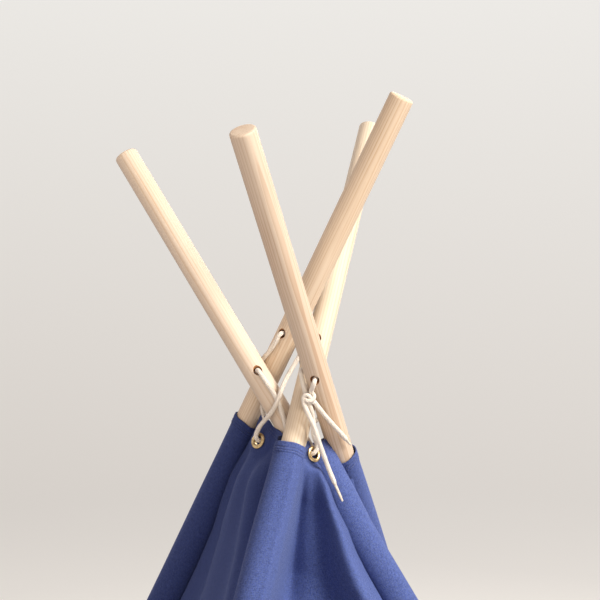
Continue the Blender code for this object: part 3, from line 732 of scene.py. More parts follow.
cords = {}
for name, points in ROUTES.items():
    path, at, length = resampled(settled(points, CORD_D / 2), 0.0014)
    radii = np.full(len(path), CORD_D / 2) * (1 + 0.025 * np.sin(at * 2 * math.pi / 0.031) + 0.02 * np.sin(at * 2 * math.pi / 0.0127 + 1))
    tip = {"tie_tail_long": 0.026, "tie_tail_short": 0.013}.get(name, 0)
    if tip:      # the wrapped end is thinner than the cord
        f = np.clip((at - (length - tip)) / 0.004, 0, 1)
        radii = radii * (1 - f * f * (3 - 2 * f) * 0.36) * (1 - 0.30 * np.clip((at - (length - 0.012)) / 0.012, 0, 1))
    verts, faces, uvs = tube_mesh(path, radii, 16)
    mesh = mesh_of(name + "_cotton", verts, faces, uvs)
    obj = new_object(name + "_cotton", mesh, CORD, TIP)
    if tip:
        first = int(np.argmax(at > length - tip))
        for poly in mesh.polygons:
            if min(poly.vertices) >= first * 16:
                poly.material_index = 1
    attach(obj, "cover_hub")
    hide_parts(name)
    cords[name] = (obj, path, length)

# the knot: two bights that hook each other, drawn tight, with two lobes above and the tails below
knot_lines = [
    [(-5.4, 2.6, -6.4), (-6.6, 3.2, -2.2), (-6.2, 4.2, 2.0), (-3.4, 5.2, 4.6), (0.2, 5.4, 3.4), (2.4, 4.4, 0.2), (4.0, 2.6, -3.6), (6.4, 0.4, -5.6)],
    [(3.2, 1.0, 7.4), (5.6, 2.0, 5.6), (7.0, 3.2, 1.8), (5.2, 4.8, -1.9), (1.6, 5.8, -3.4), (-2.2, 4.8, -2.6), (-4.4, 2.6, 0.6), (-4.6, 0.8, 4.6), (-4.0, 0.2, 7.2)],
    [(6.2, -2.4, 0.6), (3.2, -4.4, 3.0), (-1.0, -4.8, 3.4), (-5.2, -3.4, 1.0), (-6.2, -0.4, -1.6), (-3.2, 1.2, -4.8), (0.6, 1.0, -6.4)],
]
parts = []
for line in knot_lines:
    pts, _ = spline_points([knot(*(c / 1000 for c in q)) for q in line], 0.0008)
    path, at, length = resampled(pts, 0.0009)
    parts.append(tube_mesh(path, np.full(len(path), 0.00265), 14))
verts, faces, uvs = joined(parts)
tie_knot = new_object("tie_knot_cotton", mesh_of("tie_knot_cotton", verts, faces, uvs), CORD)
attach(tie_knot, "cover_hub")
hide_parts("tie_knot")


# ---------------------------------------------------------------- sleeves
def toward(psi):
    """A level direction: 0 points at the camera's side of the tent, 90 to its right."""
    a = math.radians(psi)
    return -FWD * math.cos(a) + RIGHT * math.sin(a)


BELOW = (0.0, 0.04, 0.08, 0.12, 0.16, 0.22, 0.35, 0.70, 1.40)       # below the sleeve's mouth
SLEEVES = {   # radius and slack at those distances, which way the slack lies, and how round it is
    "front_left": ((17.4, 17.4, 17.4, 17.4, 17.4, 17.5, 17.8, 18.0, 17.9), (4.6, 5.2, 6.6, 7.6, 8.0, 8.0, 7.4, 5.5, 1.5), -90, 1.5),
    "front_right": ((17.4, 17.4, 17.4, 17.4, 17.4, 17.5, 17.8, 18.0, 17.9), (19.8, 16.6, 14.6, 11.4, 10.6, 10.4, 9.4, 6.0, 1.5), 90, 2.3),
    "back_right": ((17.6, 17.6, 17.8, 17.8, 17.8, 17.8, 17.8, 18.0, 17.9), (1.2, 2.4, 3.2, 3.8, 4.2, 4.8, 5.5, 4.5, 1.5), 60, 1.2),
    "back_left": ((17.4, 17.4, 17.4, 17.4, 17.4, 17.5, 17.8, 18.0, 17.9), (0.2, 0.4, 0.6, 3.6, 8.8, 10.2, 9.0, 6.0, 1.5), 90, 2.3),
}
WAVES = [(rng.integers(1, 6), rng.uniform(4, 34), rng.uniform(0, 6.28), rng.uniform(0.3, 1.0)) for _ in range(14)]
HEM_BAND, STITCHES = 0.0142, (0.0076, 0.0116)
OUTER_RISE = {"back_left": (-90, 0.0065, 0.0), "back_right": (100, 0.0040, 0.0012)}
CAM_SIDE = {name: p.angle_of(toward(0)) for name, p in P.items()}


def smooth01(x):
    x = np.clip(x, 0, 1)
    return x * x * (3 - 2 * x)


def skin_radius(name, theta, below):
    """How far the sleeve's outer skin is from the pole's axis."""
    r0, e0, psi, power = SLEEVES[name]
    phi = P[name].angle_of(toward(psi))
    base = np.interp(below, BELOW, r0) / 1000
    slack = np.interp(below, BELOW, e0) / 1000
    lobe = ((1 + np.cos(theta - phi)) / 2) ** power
    wrinkle = sum(a * np.sin(k * theta + f * below * 2 + ph + i) for i, (k, f, ph, a) in enumerate(WAVES)) / 14
    calm = smooth01(below / 0.03)
    fold = 0.0
    if name == "front_left":      # the cloth breaks over the pole in one long soft edge
        away = np.arctan2(np.sin(theta - P[name].angle_of(toward(20))), np.cos(theta - P[name].angle_of(toward(20))))
        fold = 0.0021 * np.exp(-(away / 0.24) ** 2) * smooth01((below - 0.012) / 0.03)
    return base + slack * lobe + 0.0008 * wrinkle * calm + 0.0004 + fold


def mouth_at(name, theta):
    """Where the sleeve's mouth is along the pole: the slack side of one sags."""
    p = P[name]
    back = (1 - np.cos(theta - CAM_SIDE[name])) / 2
    lift = 0.010 * back ** 1.5 if name == "front_right" else 0.0
    if name in OUTER_RISE:
        psi, amount, all_round = OUTER_RISE[name]
        lift = all_round + amount * (1 + np.cos(theta - p.angle_of(toward(psi)))) / 2
    return p.sleeve_top + lift + 0.0006 * np.sin(2 * theta + 1) + 0.0004 * np.sin(5 * theta)


def skin_point(name, theta, below, out=0.0):
    """Points on a sleeve, theta round the pole, below measured down from its mouth."""
    p = P[name]
    s = mouth_at(name, theta) - below
    r = skin_radius(name, theta, below) + out
    return arr(p.base) + s[..., None] * arr(p.d) + r[..., None] * (np.cos(theta)[..., None] * arr(p.x) + np.sin(theta)[..., None] * arr(p.y))


def crowded(n, share=0.25):
    """0 to 1 with close steps near 0."""
    q = np.linspace(0, 1, n)
    return share * q + (1 - share) * q * q


def sleeve(name):
    p = P[name]
    sides = 96
    theta = np.linspace(0, 2 * math.pi, sides, endpoint=False)
    foot_r = 0.0181
    foot_s = (0.0009 - p.base.z - foot_r * (np.cos(theta) * p.x.z + np.sin(theta) * p.y.z)) / p.d.z
    top = mouth_at(name, theta)
    rows = np.unique(np.concatenate([[0, 0.0004, 0.0012], np.arange(0.0020, 0.0150, 0.0006), 0.0150 + (1.5 - 0.0150) * crowded(120, 0.10)]))
    rows = rows[rows < (top - foot_s).min() - 0.012]
    rings, uv_rows = [], []

    def ring(below, out, v):
        hem = 0.0009 * (1 - smooth01((below - HEM_BAND + 0.0006) / 0.0008))
        groove = -0.00060 * sum(np.exp(-((below - t) / 0.0008) ** 2) for t in STITCHES)
        pucker = 0.00022 * np.sin(theta * 31 + 9 * below / 0.013) * smooth01(below / 0.004) * (1 - smooth01((below - 0.016) / 0.006))
        groove = groove + pucker
        rings.append(skin_point(name, theta, np.full(sides, below), out + hem + groove))
        uv_rows.append(v)

    for below in (0.05, 0.03, 0.014, 0.006, 0.0015):      # inside of the mouth, going up
        ring(below, -0.0017, 0.006 - below)
    ring(0.0003, -0.0014, 0.0005)
    ring(0.0, -0.0008, 0.0)
    for below in rows:
        ring(below, -0.0002 if below == 0 else 0.0, -below)
    for k, (lift, shrink) in enumerate(((0.010, 0.0), (0.004, 0.0), (0.0012, 0.0008), (0.0002, 0.0030))):
        s = foot_s + lift
        r = foot_r - shrink
        rings.append(arr(p.base) + s[:, None] * arr(p.d) + r * (np.cos(theta)[:, None] * arr(p.x) + np.sin(theta)[:, None] * arr(p.y)))
        uv_rows.append(-1.32 - 0.004 * k)
    rings = np.array(rings)
    rings[..., 2] = np.maximum(rings[..., 2], 0.0006)
    n = len(rings)
    verts = list(rings.reshape(-1, 3)) + [rings[-1].mean(0)]
    faces, uvs = [], []
    around = theta * 0.0195
    whole = 2 * math.pi * 0.0195
    for i in range(n - 1):
        for k in range(sides):
            m = (k + 1) % sides
            faces.append((i * sides + k, (i + 1) * sides + k, (i + 1) * sides + m, i * sides + m))
            a, b = around[k], around[m] if m else whole
            uvs.append(((a, uv_rows[i]), (a, uv_rows[i + 1]), (b, uv_rows[i + 1]), (b, uv_rows[i])))
    for k in range(sides):
        m = (k + 1) % sides
        faces.append(((n - 1) * sides + k, n * sides, (n - 1) * sides + m))
        uvs.append(((around[k], uv_rows[-1]), (around[k], uv_rows[-1] - 0.02), (around[k] + 0.001, uv_rows[-1])))
    mesh = mesh_of("sleeve_cloth_" + name, verts, faces, uvs)
    obj = new_object("sleeve_cloth_" + name, mesh, CANVAS, CANVAS_IN_SHADED)
    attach(obj, LEG[name])
    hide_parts("sleeve_" + name)
    # the mouth's double row of stitches
    parts = []
    for row in STITCHES:
        loop = skin_point(name, np.linspace(0, 2 * math.pi, 241), np.full(241, row), 0.00050)
        run = np.concatenate([[0], np.cumsum(np.linalg.norm(np.diff(loop, axis=0), axis=1))])
        parts += stitches_on(loop, run)
    verts, faces, uvs = joined(parts)
    thread = new_object("sleeve_stitches_" + name, mesh_of("sleeve_stitches_" + name, verts, faces, uvs), THREAD)
    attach(thread, LEG[name])
    return obj


def stitches_on(line, run, length=0.0027, gap=0.0011, r=0.00030):
    """Short thread runs along a line."""
    parts = []
    count = int(run[-1] / (length + gap))
    for i in range(count):
        a = (i + 0.5) * run[-1] / count - length / 2
        at = np.linspace(a, a + length, 4)
        pts = np.stack([np.interp(at, run, line[:, k]) for k in range(3)], axis=1)
        parts.append(tube_mesh(pts, [r * 0.6, r, r, r * 0.6], 5, first=a, start_round=False, end_round=False))
    return parts


for name in P:
    sleeve(name)


# ---------------------------------------------------------------- panels
def seam_direction(pole, spec, normal, along, z):
    """Unit directions from the pole's axis to the seam, across the pole. spec is ("psi", heights, angles) or ("side", degrees)."""
    d = arr(pole.d)
    if spec[0] == "psi":
        a = np.radians(np.interp(z, spec[1], spec[2]))
        v = -arr(FWD) * np.cos(a)[..., None] + arr(RIGHT) * np.sin(a)[..., None]
    else:
        a = np.radians(np.interp(z, spec[1], spec[2]))
        v = normal * np.cos(a)[..., None] + along * np.sin(a)[..., None]
    v = v - (v @ d)[..., None] * d
    return unit(v)


def curve(points, width=0.016):
    """A smooth function through (u, value) pairs."""
    x = np.linspace(-0.2, 1.2, 1401)
    y = np.interp(x, [q[0] for q in points], [q[1] for q in points])
    k = np.exp(-0.5 * (np.arange(-120, 121) / 1000 / width) ** 2)
    y = np.convolve(np.pad(y, 120, mode="edge"), k / k.sum(), mode="valid")
    return lambda u: np.interp(u, x, y)


LEFT_CREST = curve([(0, 0.28), (0.06, 0.50), (0.12, 0.70), (0.20, 0.92), (0.32, 1.0), (0.45, 0.98), (0.55, 0.93), (0.65, 0.88), (0.75, 0.82), (0.87, 0.74), (1, 0.62)], 0.02)
FOLDS = {
    "front": curve([(0, 0), (0.04, 0.150), (0.08, 0.285), (0.12, 0.385), (0.16, 0.410), (0.20, 0.378), (0.25, 0.322), (0.30, 0.270), (0.35, 0.230), (0.40, 0.198),
                    (0.45, 0.165), (0.50, 0.120), (0.55, 0.060), (0.60, -0.010), (0.65, -0.083), (0.70, -0.157), (0.75, -0.228), (0.80, -0.290), (0.84, -0.325),
                    (0.88, -0.338), (0.92, -0.302), (0.96, -0.188), (1, 0)], 0.013),
    "front_top": curve([(0, 0), (0.1, 0.03), (0.25, 0.0), (0.4, -0.08), (0.5, -0.14), (0.6, -0.20), (0.7, -0.26), (0.8, -0.30), (0.88, -0.30), (0.95, -0.17), (1, 0)], 0.02),
    "back": curve([(0, 0), (0.08, -0.020), (0.24, 0.018), (0.37, -0.024), (0.52, 0.020), (0.66, -0.026), (0.80, 0.018), (0.92, -0.020), (1, 0)], 0.02),
    "right": curve([(0, 0), (0.07, -0.022), (0.18, 0.014), (0.31, -0.024), (0.46, 0.018), (0.60, -0.022), (0.74, 0.016), (0.90, -0.024), (1, 0)], 0.02),
}


def panel_grid(side, across, up, seam_a, seam_b, extra_peak=0.0):
    a, b, low, high, lift, bow, peak, peak_at = SHAPES[side]
    pa_, pb_ = P[a], P[b]
    u = np.linspace(0, 1, across)[None, :].repeat(up, 0)
    w = (1 - crowded(up, 0.25))[::-1][:, None].repeat(across, 1)
    tent = np.maximum(0.0, 1 - np.abs(u - peak_at) / max(peak_at, 1 - peak_at))
    crest = LEFT_CREST(u) if side == "left" else smooth01(tent)
    rise = (peak * w ** 6 + extra_peak * w ** 14) * crest
    sa = low[0] + (high[0] - low[0]) * w + rise
    sb = low[1] + (high[1] - low[1]) * w + rise
    da, db = arr(pa_.d), arr(pb_.d)
    A, B = arr(pa_.base) + sa[..., None] * da, arr(pb_.base) + sb[..., None] * db
    outward = (A + B) / 2 + arr((0.03, 0, 0))
    outward[..., 2] = 0
    qa, qb = A, B
    for _ in range(6):
        line = qb - qa
        na, nb = unit(np.cross(line, da)), unit(np.cross(line, db))
        flip = np.where(((na + nb) * outward).sum(-1) < 0, -1.0, 1.0)[..., None]
        na, nb = na * flip, nb * flip
        qa, qb = A + na * lift, B + nb * lift
    cad_normal = unit(na + nb)
    ta = unit((B - A) - ((B - A) @ da)[..., None] * da)
    tb = unit((A - B) - ((A - B) @ db)[..., None] * db)
    va = seam_direction(pa_, seam_a, na, ta, A[..., 2])
    vb = seam_direction(pb_, seam_b, nb, tb, B[..., 2])

    def reach(pole_name, v, s):
        p = P[pole_name]
        th = np.arctan2(v @ arr(p.y), v @ arr(p.x))
        return skin_radius(pole_name, th, np.maximum(0.0, p.sleeve_top - s)) - 0.0006

    SA = A + va * reach(a, va, sa)[..., None]
    SB = B + vb * reach(b, vb, sb)[..., None]
    width = np.linalg.norm(SB - SA, axis=-1)
    normal = unit(np.cross(SB - SA, da[None, None] * (1 - u[..., None]) + db[None, None] * u[..., None]))
    flip = np.where((normal * cad_normal).sum(-1) < 0, -1.0, 1.0)[..., None]
    normal = normal * flip
    pts = SA + (SB - SA) * u[..., None]
    return dict(u=u, w=w, sa=sa, sb=sb, A=A, B=B, SA=SA, SB=SB, width=width, normal=normal, pts=pts, high=high, low=low)


def left_folds(u, z):
    """Two ridges fall from the left eyelet, a deep valley runs beside the front pole; in metres, outwards."""
    first = np.interp(z, (0.60, 0.95, 1.00, 1.03, 1.07, 1.11), (0.52, 0.48, 0.41, 0.385, 0.43, 0.50))
    second = np.interp(z, (0.60, 0.96, 1.01, 1.03, 1.08, 1.11), (0.88, 0.86, 0.815, 0.79, 0.745, 0.74))
    low = smooth01((z - 0.02) / 0.5)
    spread = 1 + 1.2 * smooth01((1.0 - z) / 0.5)
    h = 0.0090 * np.exp(-((u - first) / 0.150) ** 2) + 0.0052 * np.exp(-((u - second) / 0.085) ** 2)
    h -= 0.0030 * np.exp(-((u - (first + second) / 2 - 0.02) / 0.08) ** 2)
    h += 0.0080 * np.exp(-((u - 0.10) / 0.09) ** 2) - 0.0024 * np.exp(-((u - (first - 0.20)) / 0.08) ** 2)
    h *= spread
    beside = 0.5 * (1 + np.tanh((z - 1.045) / 0.025))
    h -= (0.0060 + 0.0085 * beside) * np.exp(-((u - 0.905) / 0.050) ** 2)
    top = smooth01((z - 1.088) / 0.055)
    h = h * (1 - top) + top * (-0.0125 * smooth01((u - 0.48) / 0.25) * smooth01((1 - u) / 0.12) + 0.003 * np.exp(-((u - 0.15) / 0.1) ** 2))
    return h * smooth01(u / 0.03) * smooth01((1 - u) / 0.03) * low


def off_the_poles(pts, u):
    """The cloth is pushed off any pole that it would cut."""
    for name, p in P.items():
        d, base = arr(p.d), arr(p.base)
        s = (pts - base) @ d
        off = pts - base - s[..., None] * d
        r = np.linalg.norm(off, axis=-1)
        need = np.where(s < p.sleeve_top + 0.004, R_OUT if name in ("front_right", "back_right") else R + 0.0002, R) + 0.0012
        pts = pts + off / r[..., None] * np.maximum(0.0, need - r)[..., None]
    return pts


def pull_to_eyelet(g, side, reach_down=0.10):
    """The cloth is drawn out or in so that it passes through its eyelet."""
    c, n, up = eyelet_look[side]
    c, n = arr(c), arr(n)
    pts = g["pts"]
    flat = np.linalg.norm(pts - c, axis=-1)
    j, i = np.unravel_index(flat.argmin(), flat.shape)
    off = (c - pts[j, i]).dot(g["normal"][j, i]) * g["normal"][j, i]
    ue, ze = g["u"][j, i], pts[j, i, 2]
    tent = np.where(g["u"] < ue, g["u"] / max(ue, 1e-6), (1 - g["u"]) / max(1 - ue, 1e-6))
    tent = np.sin(np.clip(tent, 0, 1) * math.pi / 2) ** 1.1
    fall = np.where(pts[..., 2] > ze, 1.0, np.exp(-((ze - pts[..., 2]) / reach_down) ** 2))
    g["pts"] = pts + off * (tent * fall)[..., None]
    g["eyelet_uv"] = (ue, ze)


def seat_eyelet(g, side):
    c, n, up = eyelet_look[side]
    c, n = arr(c), arr(n)
    rel = g["pts"] - c
    out = rel @ n
    dist = np.linalg.norm(rel - out[..., None] * n, axis=-1)
    k = 1 - smooth01((dist - 0.0120) / 0.0130)
    k = np.where(np.abs(out) < 0.03, k, 0)
    g["pts"] = g["pts"] - n * (out * k)[..., None]
    g["hole"] = (dist < 0.0086) & (np.abs(out) < 0.03)


def wrinkled(g, amount, seed, top_z=1.19):
    """Long soft wrinkles that spread from the top, and a few level ones low down."""
    r = np.random.default_rng(seed)
    x = (g["u"] - 0.5) * np.minimum(g["width"], 0.7)
    s = g["sa"]
    total = np.zeros_like(x)
    for _ in range(9):
        k, f = r.uniform(18, 90), r.uniform(-9, 9)
        total += np.sin(x * k + s * f + r.uniform(0, 6.28)) * r.uniform(0.3, 1.0) / (k / 40)
    for _ in range(6):
        k = r.integers(2, 9)
        total += 0.6 * np.sin(g["u"] * math.pi * k + r.uniform(0, 6.28) + s * r.uniform(-2, 2)) * np.minimum(g["width"] / 0.5, 1.0)
    edge = np.minimum(g["u"], 1 - g["u"])
    return total / 4 * amount * smooth01(edge / 0.05)


def to_mesh(name, g, columns, thick, hems, joint, flip_uv=False):
    """Part of a panel's grid as a closed sheet with two faces and hem stitches; blend weights are worked out but not
    put on the mesh.
    """
    i0, i1 = columns
    pts = g["pts"] = np.array(g["pts"])
    pts[..., 2] = np.maximum(pts[..., 2], 0.0035)      # the cloth's lower edge stays off the floor
    du = np.gradient(pts, axis=1)
    dw = np.gradient(pts, axis=0)
    nrm = unit(np.cross(du, dw))
    nrm = nrm * (-1.0 if (nrm * g["normal"]).sum() < 0 else 1.0)
    g["nrm"] = nrm
    rows = pts.shape[0]
    run = np.cumsum(np.concatenate([np.zeros((1, pts.shape[1])), np.linalg.norm(np.diff(pts, axis=0), axis=-1)]), axis=0)
    below_top = run[-1][None] - run
    # turned hems: a second layer of cloth shows as a slight step
    step = np.zeros_like(run)
    if "top" in hems:
        step += 0.0010 * (1 - smooth01((below_top - HEM_BAND + 0.0006) / 0.0010))
        step -= 0.00050 * sum(np.exp(-((below_top - t) / 0.0008) ** 2) for t in STITCHES)
    if "bottom" in hems:
        step += 0.0007 * (1 - smooth01((run - 0.022) / 0.004))
    outer = (pts + nrm * (thick / 2 + step)[..., None])[:, i0:i1 + 1]
    inner = (pts - nrm * (thick / 2))[:, i0:i1 + 1]
    cols = i1 - i0 + 1
    hole = g.get("hole")
    hole = hole[:, i0:i1 + 1] if hole is not None else np.zeros((rows, cols), bool)
    cell_hole = hole[:-1, :-1] & hole[1:, :-1] & hole[:-1, 1:] & hole[1:, 1:]
    mid = rows // 3
    xs = np.cumsum(np.concatenate([[0], np.linalg.norm(np.diff(pts[mid], axis=0), axis=1)]))[i0:i1 + 1]
    ys = run.mean(1)
    verts = list(outer.reshape(-1, 3)) + list(inner.reshape(-1, 3))
    n = rows * cols
    faces, uvs, slots = [], [], []
    oriented = np.cross(outer[0, 1] - outer[0, 0], outer[1, 0] - outer[0, 0]).dot(nrm[0, i0]) > 0

    def uv(j, i):
        return (xs[i], ys[j])

    def add_face(q, corners, slot):
        if not oriented:
            q, corners = q[::-1], corners[::-1]
        faces.append(q)
        uvs.append(corners)
        slots.append(slot)

    idx = lambda j, i: j * cols + i  # noqa: E731
    for j in range(rows - 1):
        for i in range(cols - 1):
            if cell_hole[j, i]:
                continue
            q = (idx(j, i), idx(j, i + 1), idx(j + 1, i + 1), idx(j + 1, i))
            c = (uv(j, i), uv(j, i + 1), uv(j + 1, i + 1), uv(j + 1, i))
            add_face(q, c, 0)
            add_face(tuple(k + n for k in q[::-1]), c[::-1], 1)
    rim = [((j, 0), (j + 1, 0)) for j in range(rows - 1)] + [((j + 1, cols - 1), (j, cols - 1)) for j in range(rows - 1)]
    rim += [((0, i + 1), (0, i)) for i in range(cols - 1)] + [((rows - 1, i), (rows - 1, i + 1)) for i in range(cols - 1)]
    for j, i in zip(*np.nonzero(cell_hole)):
        for (dj, di), e in (((-1, 0), ((j, i), (j, i + 1))), ((1, 0), ((j + 1, i + 1), (j + 1, i))), ((0, -1), ((j + 1, i), (j, i))), ((0, 1), ((j, i + 1), (j + 1, i + 1)))):
            jj, ii = j + dj, i + di
            if not (0 <= jj < rows - 1 and 0 <= ii < cols - 1):
                continue
            if not cell_hole[jj, ii]:
                rim.append(e)
    # a hole that reaches the border leaves no rim there
    border_gone = set()
    for j in range(rows - 1):
        if cell_hole[j, 0]:
            border_gone.add(((j, 0), (j + 1, 0)))
        if cell_hole[j, -1]:
            border_gone.add(((j + 1, cols - 1), (j, cols - 1)))
    for p_, q_ in rim:
        if (p_, q_) in border_gone:
            continue
        a, b = idx(*p_), idx(*q_)
        add_face((a, b, b + n, a + n), (uv(*p_), uv(*q_), uv(*q_), uv(*p_)), 0)
    weights = list(g["weight"][:, i0:i1 + 1].ravel()) * 2
    normals = np.concatenate([nrm[:, i0:i1 + 1].reshape(-1, 3), -nrm[:, i0:i1 + 1].reshape(-1, 3)])
    # stitches
    parts, part_weights = [], []
    lines = []
    if "top" in hems:
        lines += [("top", t) for t in STITCHES]
    if "bottom" in hems:
        lines += [("bottom", 0.020)]
    for where, t in lines:
        line, wt = [], []
        for i in range(i0, i1 + 1):
            h = run[-1, i] - t if where == "top" else t
            line.append([np.interp(h, run[:, i], pts[:, i, k] + nrm[:, i, k] * (thick / 2 + step[:, i])) for k in range(3)])
            wt.append(g["weight"][0, i])
        line, wt = arr(line), arr(wt)
        if g.get("hole") is not None and where == "top":
            keep = np.array([not g["hole"][:, i].any() for i in range(i0, i1 + 1)])
        else:
            keep = np.ones(len(line), bool)
        along = np.concatenate([[0], np.cumsum(np.linalg.norm(np.diff(line, axis=0), axis=1))])
        for v, f, c in stitches_on(line, along):
            centre = np.mean(v, axis=0)
            k = np.linalg.norm(line - centre, axis=1).argmin()
            if not keep[k]:
                continue
            parts.append((v, f, c))
            part_weights += [wt[k]] * len(v)
    base = len(verts)
    if parts:
        pv, pf, pu = joined(parts)
        verts += list(pv)
        faces += [tuple(k + base for k in f) for f in pf]
        uvs += list(pu)
        slots += [2] * len(pf)
        weights += part_weights
    mesh = mesh_of(name, verts, faces, uvs)
    mesh.polygons.foreach_set("material_index", np.array(slots, np.int32))
    loops = np.zeros(len(mesh.loops), np.int32)
    mesh.loops.foreach_get("vertex_index", loops)
    auto = np.zeros(len(mesh.loops) * 3, np.float32)
    mesh.corner_normals.foreach_get("vector", auto)
    auto = auto.reshape(-1, 3).copy()
    body = loops < base
    # outer and inner sides take the whole panel's own normals, so that its two halves shade as one
    slot_of_loop = np.repeat(np.array(slots), [len(f) for f in faces])
    rim_face = np.zeros(len(faces), bool)
    rim_face[sum(1 for s in slots if s in (0, 1)) - (len(rim) - len(border_gone)):sum(1 for s in slots if s in (0, 1))] = True
    rim_loop = np.repeat(rim_face, [len(f) for f in faces])
    use = body & ~rim_loop
    hemmed = np.zeros(base, bool)
    auto[use] = normals[loops[use]]
    mesh.normals_split_custom_set([tuple(map(float, v)) for v in auto])
    obj = new_object(name, mesh, CANVAS, CANVAS_IN_SHADED, THREAD)
    if joint:
        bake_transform(obj)
        values = arr(weights)
        if joint[2]:
            values = 1 - values
    return obj


def halves(side, g, thick, hems, node):
    """A panel in two halves, split at a column between its two poles."""
    a, b = SHAPES[side][:2]
    across = g["u"].shape[1]
    mid = int(across * {"front": 0.78, "right": 0.14, "left": 0.58}.get(side, 0.5))
    u, um = g["u"], g["u"][0, mid]
    g["weight"] = np.abs(u - um) / np.where(u < um, um, 1 - um)
    # round an eyelet the weights follow the eyelet's side of the split
    ue, ze = g["eyelet_uv"]
    near = np.exp(-((g["pts"][..., 2] - ze) / 0.05) ** 2)
    grip = 0.016 / g["width"]
    if side == "front":
        local = np.where(u < um, smooth01((um - u) / np.maximum(um - ue - grip, 0.05)), g["weight"])
    elif side == "right":
        local = np.where(u > um, smooth01((u - um) / np.maximum(ue - grip - um, 0.05)), g["weight"])
    else:
        local = np.where(u < um, smooth01((um - u - grip) / np.maximum(um - grip, 0.05)), smooth01((u - um - grip) / np.maximum(1 - um - grip, 0.05)))
    g["weight"] = g["weight"] * (1 - near) + local * near
    made = []
    for pole, columns, tag in ((a, (0, mid), "a"), (b, (mid, across - 1), "b")):
        # the weight is 1 at the pole; for the fixed leg the joint runs the other way
        joint = ("back_left_leg", "cover_hub", True) if pole == "back_left" else ("cover_hub", LEG[pole], False)
        obj = to_mesh(f"{node}_cloth_{tag}", g, columns, thick, hems, joint)
        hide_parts(node)
        strip = g["pts"][:, columns[0]:columns[1] + 1]
        wide = np.linalg.norm(np.diff(strip, axis=1), axis=-1).sum(1).max()
        tall = np.linalg.norm(np.diff(strip, axis=0), axis=-1).sum(0).max()
        made.append((obj, float(wide), float(tall)))
    return made


ANY = (0.0, 2.0)
SEEN = (0.90, 0.968, 0.990, 1.013, 1.037, 1.062, 1.086, 1.13)

# front header: its folds spread from the eyelet
g = panel_grid("front", 121, 100, ("psi", (1.0, 1.08, 1.12), (84, 84, 62)), ("psi", SEEN, (-44, -40, -37, -27, -5, 3, 20, 24)), extra_peak=0.000)
z = g["pts"][..., 2]
low_part = smooth01((1.137 - z) / 0.074)
span = np.minimum(g["width"], 0.140) * (0.10 + 0.90 * smooth01((z - 0.868) / 0.100))
deep = FOLDS["front"](g["u"]) * low_part * span + FOLDS["front_top"](g["u"]) * (1 - low_part) * (1 - smooth01((z - 1.110) / 0.014)) * g["width"]
pull_to_eyelet(g, "front", 0.05)
g["pts"] = g["pts"] + unit(arr((FWD.x, FWD.y, 0))) * deep[..., None] + g["normal"] * wrinkled(g, 0.0009, 3)[..., None]
g["pts"] = off_the_poles(g["pts"], g["u"])
seat_eyelet(g, "front")
halves("front", g, PANEL_T, ("top", "bottom"), "cover_front_header")

# left panel: one soft ridge falls from its eyelet, deep shade beside the front pole
g = panel_grid("left", 97, 170, ("psi", ANY, (88, 88)), ("psi", (0.3, 1.0, 1.15), (-150, -118, -104)), extra_peak=0.004)
z = g["pts"][..., 2]
pull_to_eyelet(g, "left", 0.09)
g["pts"] = g["pts"] + g["normal"] * (left_folds(g["u"], z) - 0.010 * 4 * g["u"] * (1 - g["u"]) * smooth01((1.0 - z) / 0.5) + wrinkled(g, 0.0014, 11))[..., None]
g["pts"] = off_the_poles(g["pts"], g["u"])
seat_eyelet(g, "left")
halves("left", g, PANEL_T, ("top", "bottom"), "cover_panel_left")

for side, seed in (("back", 21), ("right", 31)):
    g = panel_grid(side, 97, 170, ("side", (0.0, 0.9, 1.05, 1.15), (125, 125, 70, 35)), ("side", (0.0, 0.9, 1.05, 1.15), (125, 125, 70, 35)))
    z = g["pts"][..., 2]
    pull_to_eyelet(g, side, 0.08)
    g["pts"] = g["pts"] + g["normal"] * (FOLDS[side](g["u"]) * np.minimum(g["width"], 0.34) * smooth01((z - 0.02) / 0.6)
                                         - 0.012 * 4 * g["u"] * (1 - g["u"]) * smooth01((1.0 - z) / 0.5) + wrinkled(g, 0.0016, seed))[..., None]
    seat_eyelet(g, side)
    halves(side, g, PANEL_T, ("top", "bottom"), "cover_panel_" + side)

# ---------------------------------------------------------------- door flaps
flap_lift = LIFT + PANEL_T + 0.0030
flap_shape = ("front_left", "front_right", (0.002, 0.002), (1.055, 1.055), flap_lift, 0.0, 0.0, 0.5)
SHAPES["door"] = flap_shape
flaps = {}


def flap_grid(u0, u1, across, up, sign):
    a, b, low, high, lift = flap_shape[:5]
    da, db = arr(P[a].d), arr(P[b].d)
    u = np.linspace(u0, u1, across)[None].repeat(up, 0)
    w = np.linspace(0, 1, up)[:, None].repeat(across, 1)
    s = low[0] + (high[0] - low[0]) * w
    A, B = arr(P[a].base) + s[..., None] * da, arr(P[b].base) + s[..., None] * db
    outward = (A + B) / 2 + arr((0.03, 0, 0))
    outward[..., 2] = 0
    qa, qb = A, B
    for _ in range(6):
        line = qb - qa
        na, nb = unit(np.cross(line, da)), unit(np.cross(line, db))
        flip = np.where(((na + nb) * outward).sum(-1) < 0, -1.0, 1.0)[..., None]
        na, nb = na * flip, nb * flip
        qa, qb = A + na * lift, B + nb * lift
    pts = qa + (qb - qa) * u[..., None]
    normal = unit(na + nb)
    return dict(u=u, w=w, sa=s, sb=s, pts=pts, normal=normal, width=np.linalg.norm(qb - qa, axis=-1))


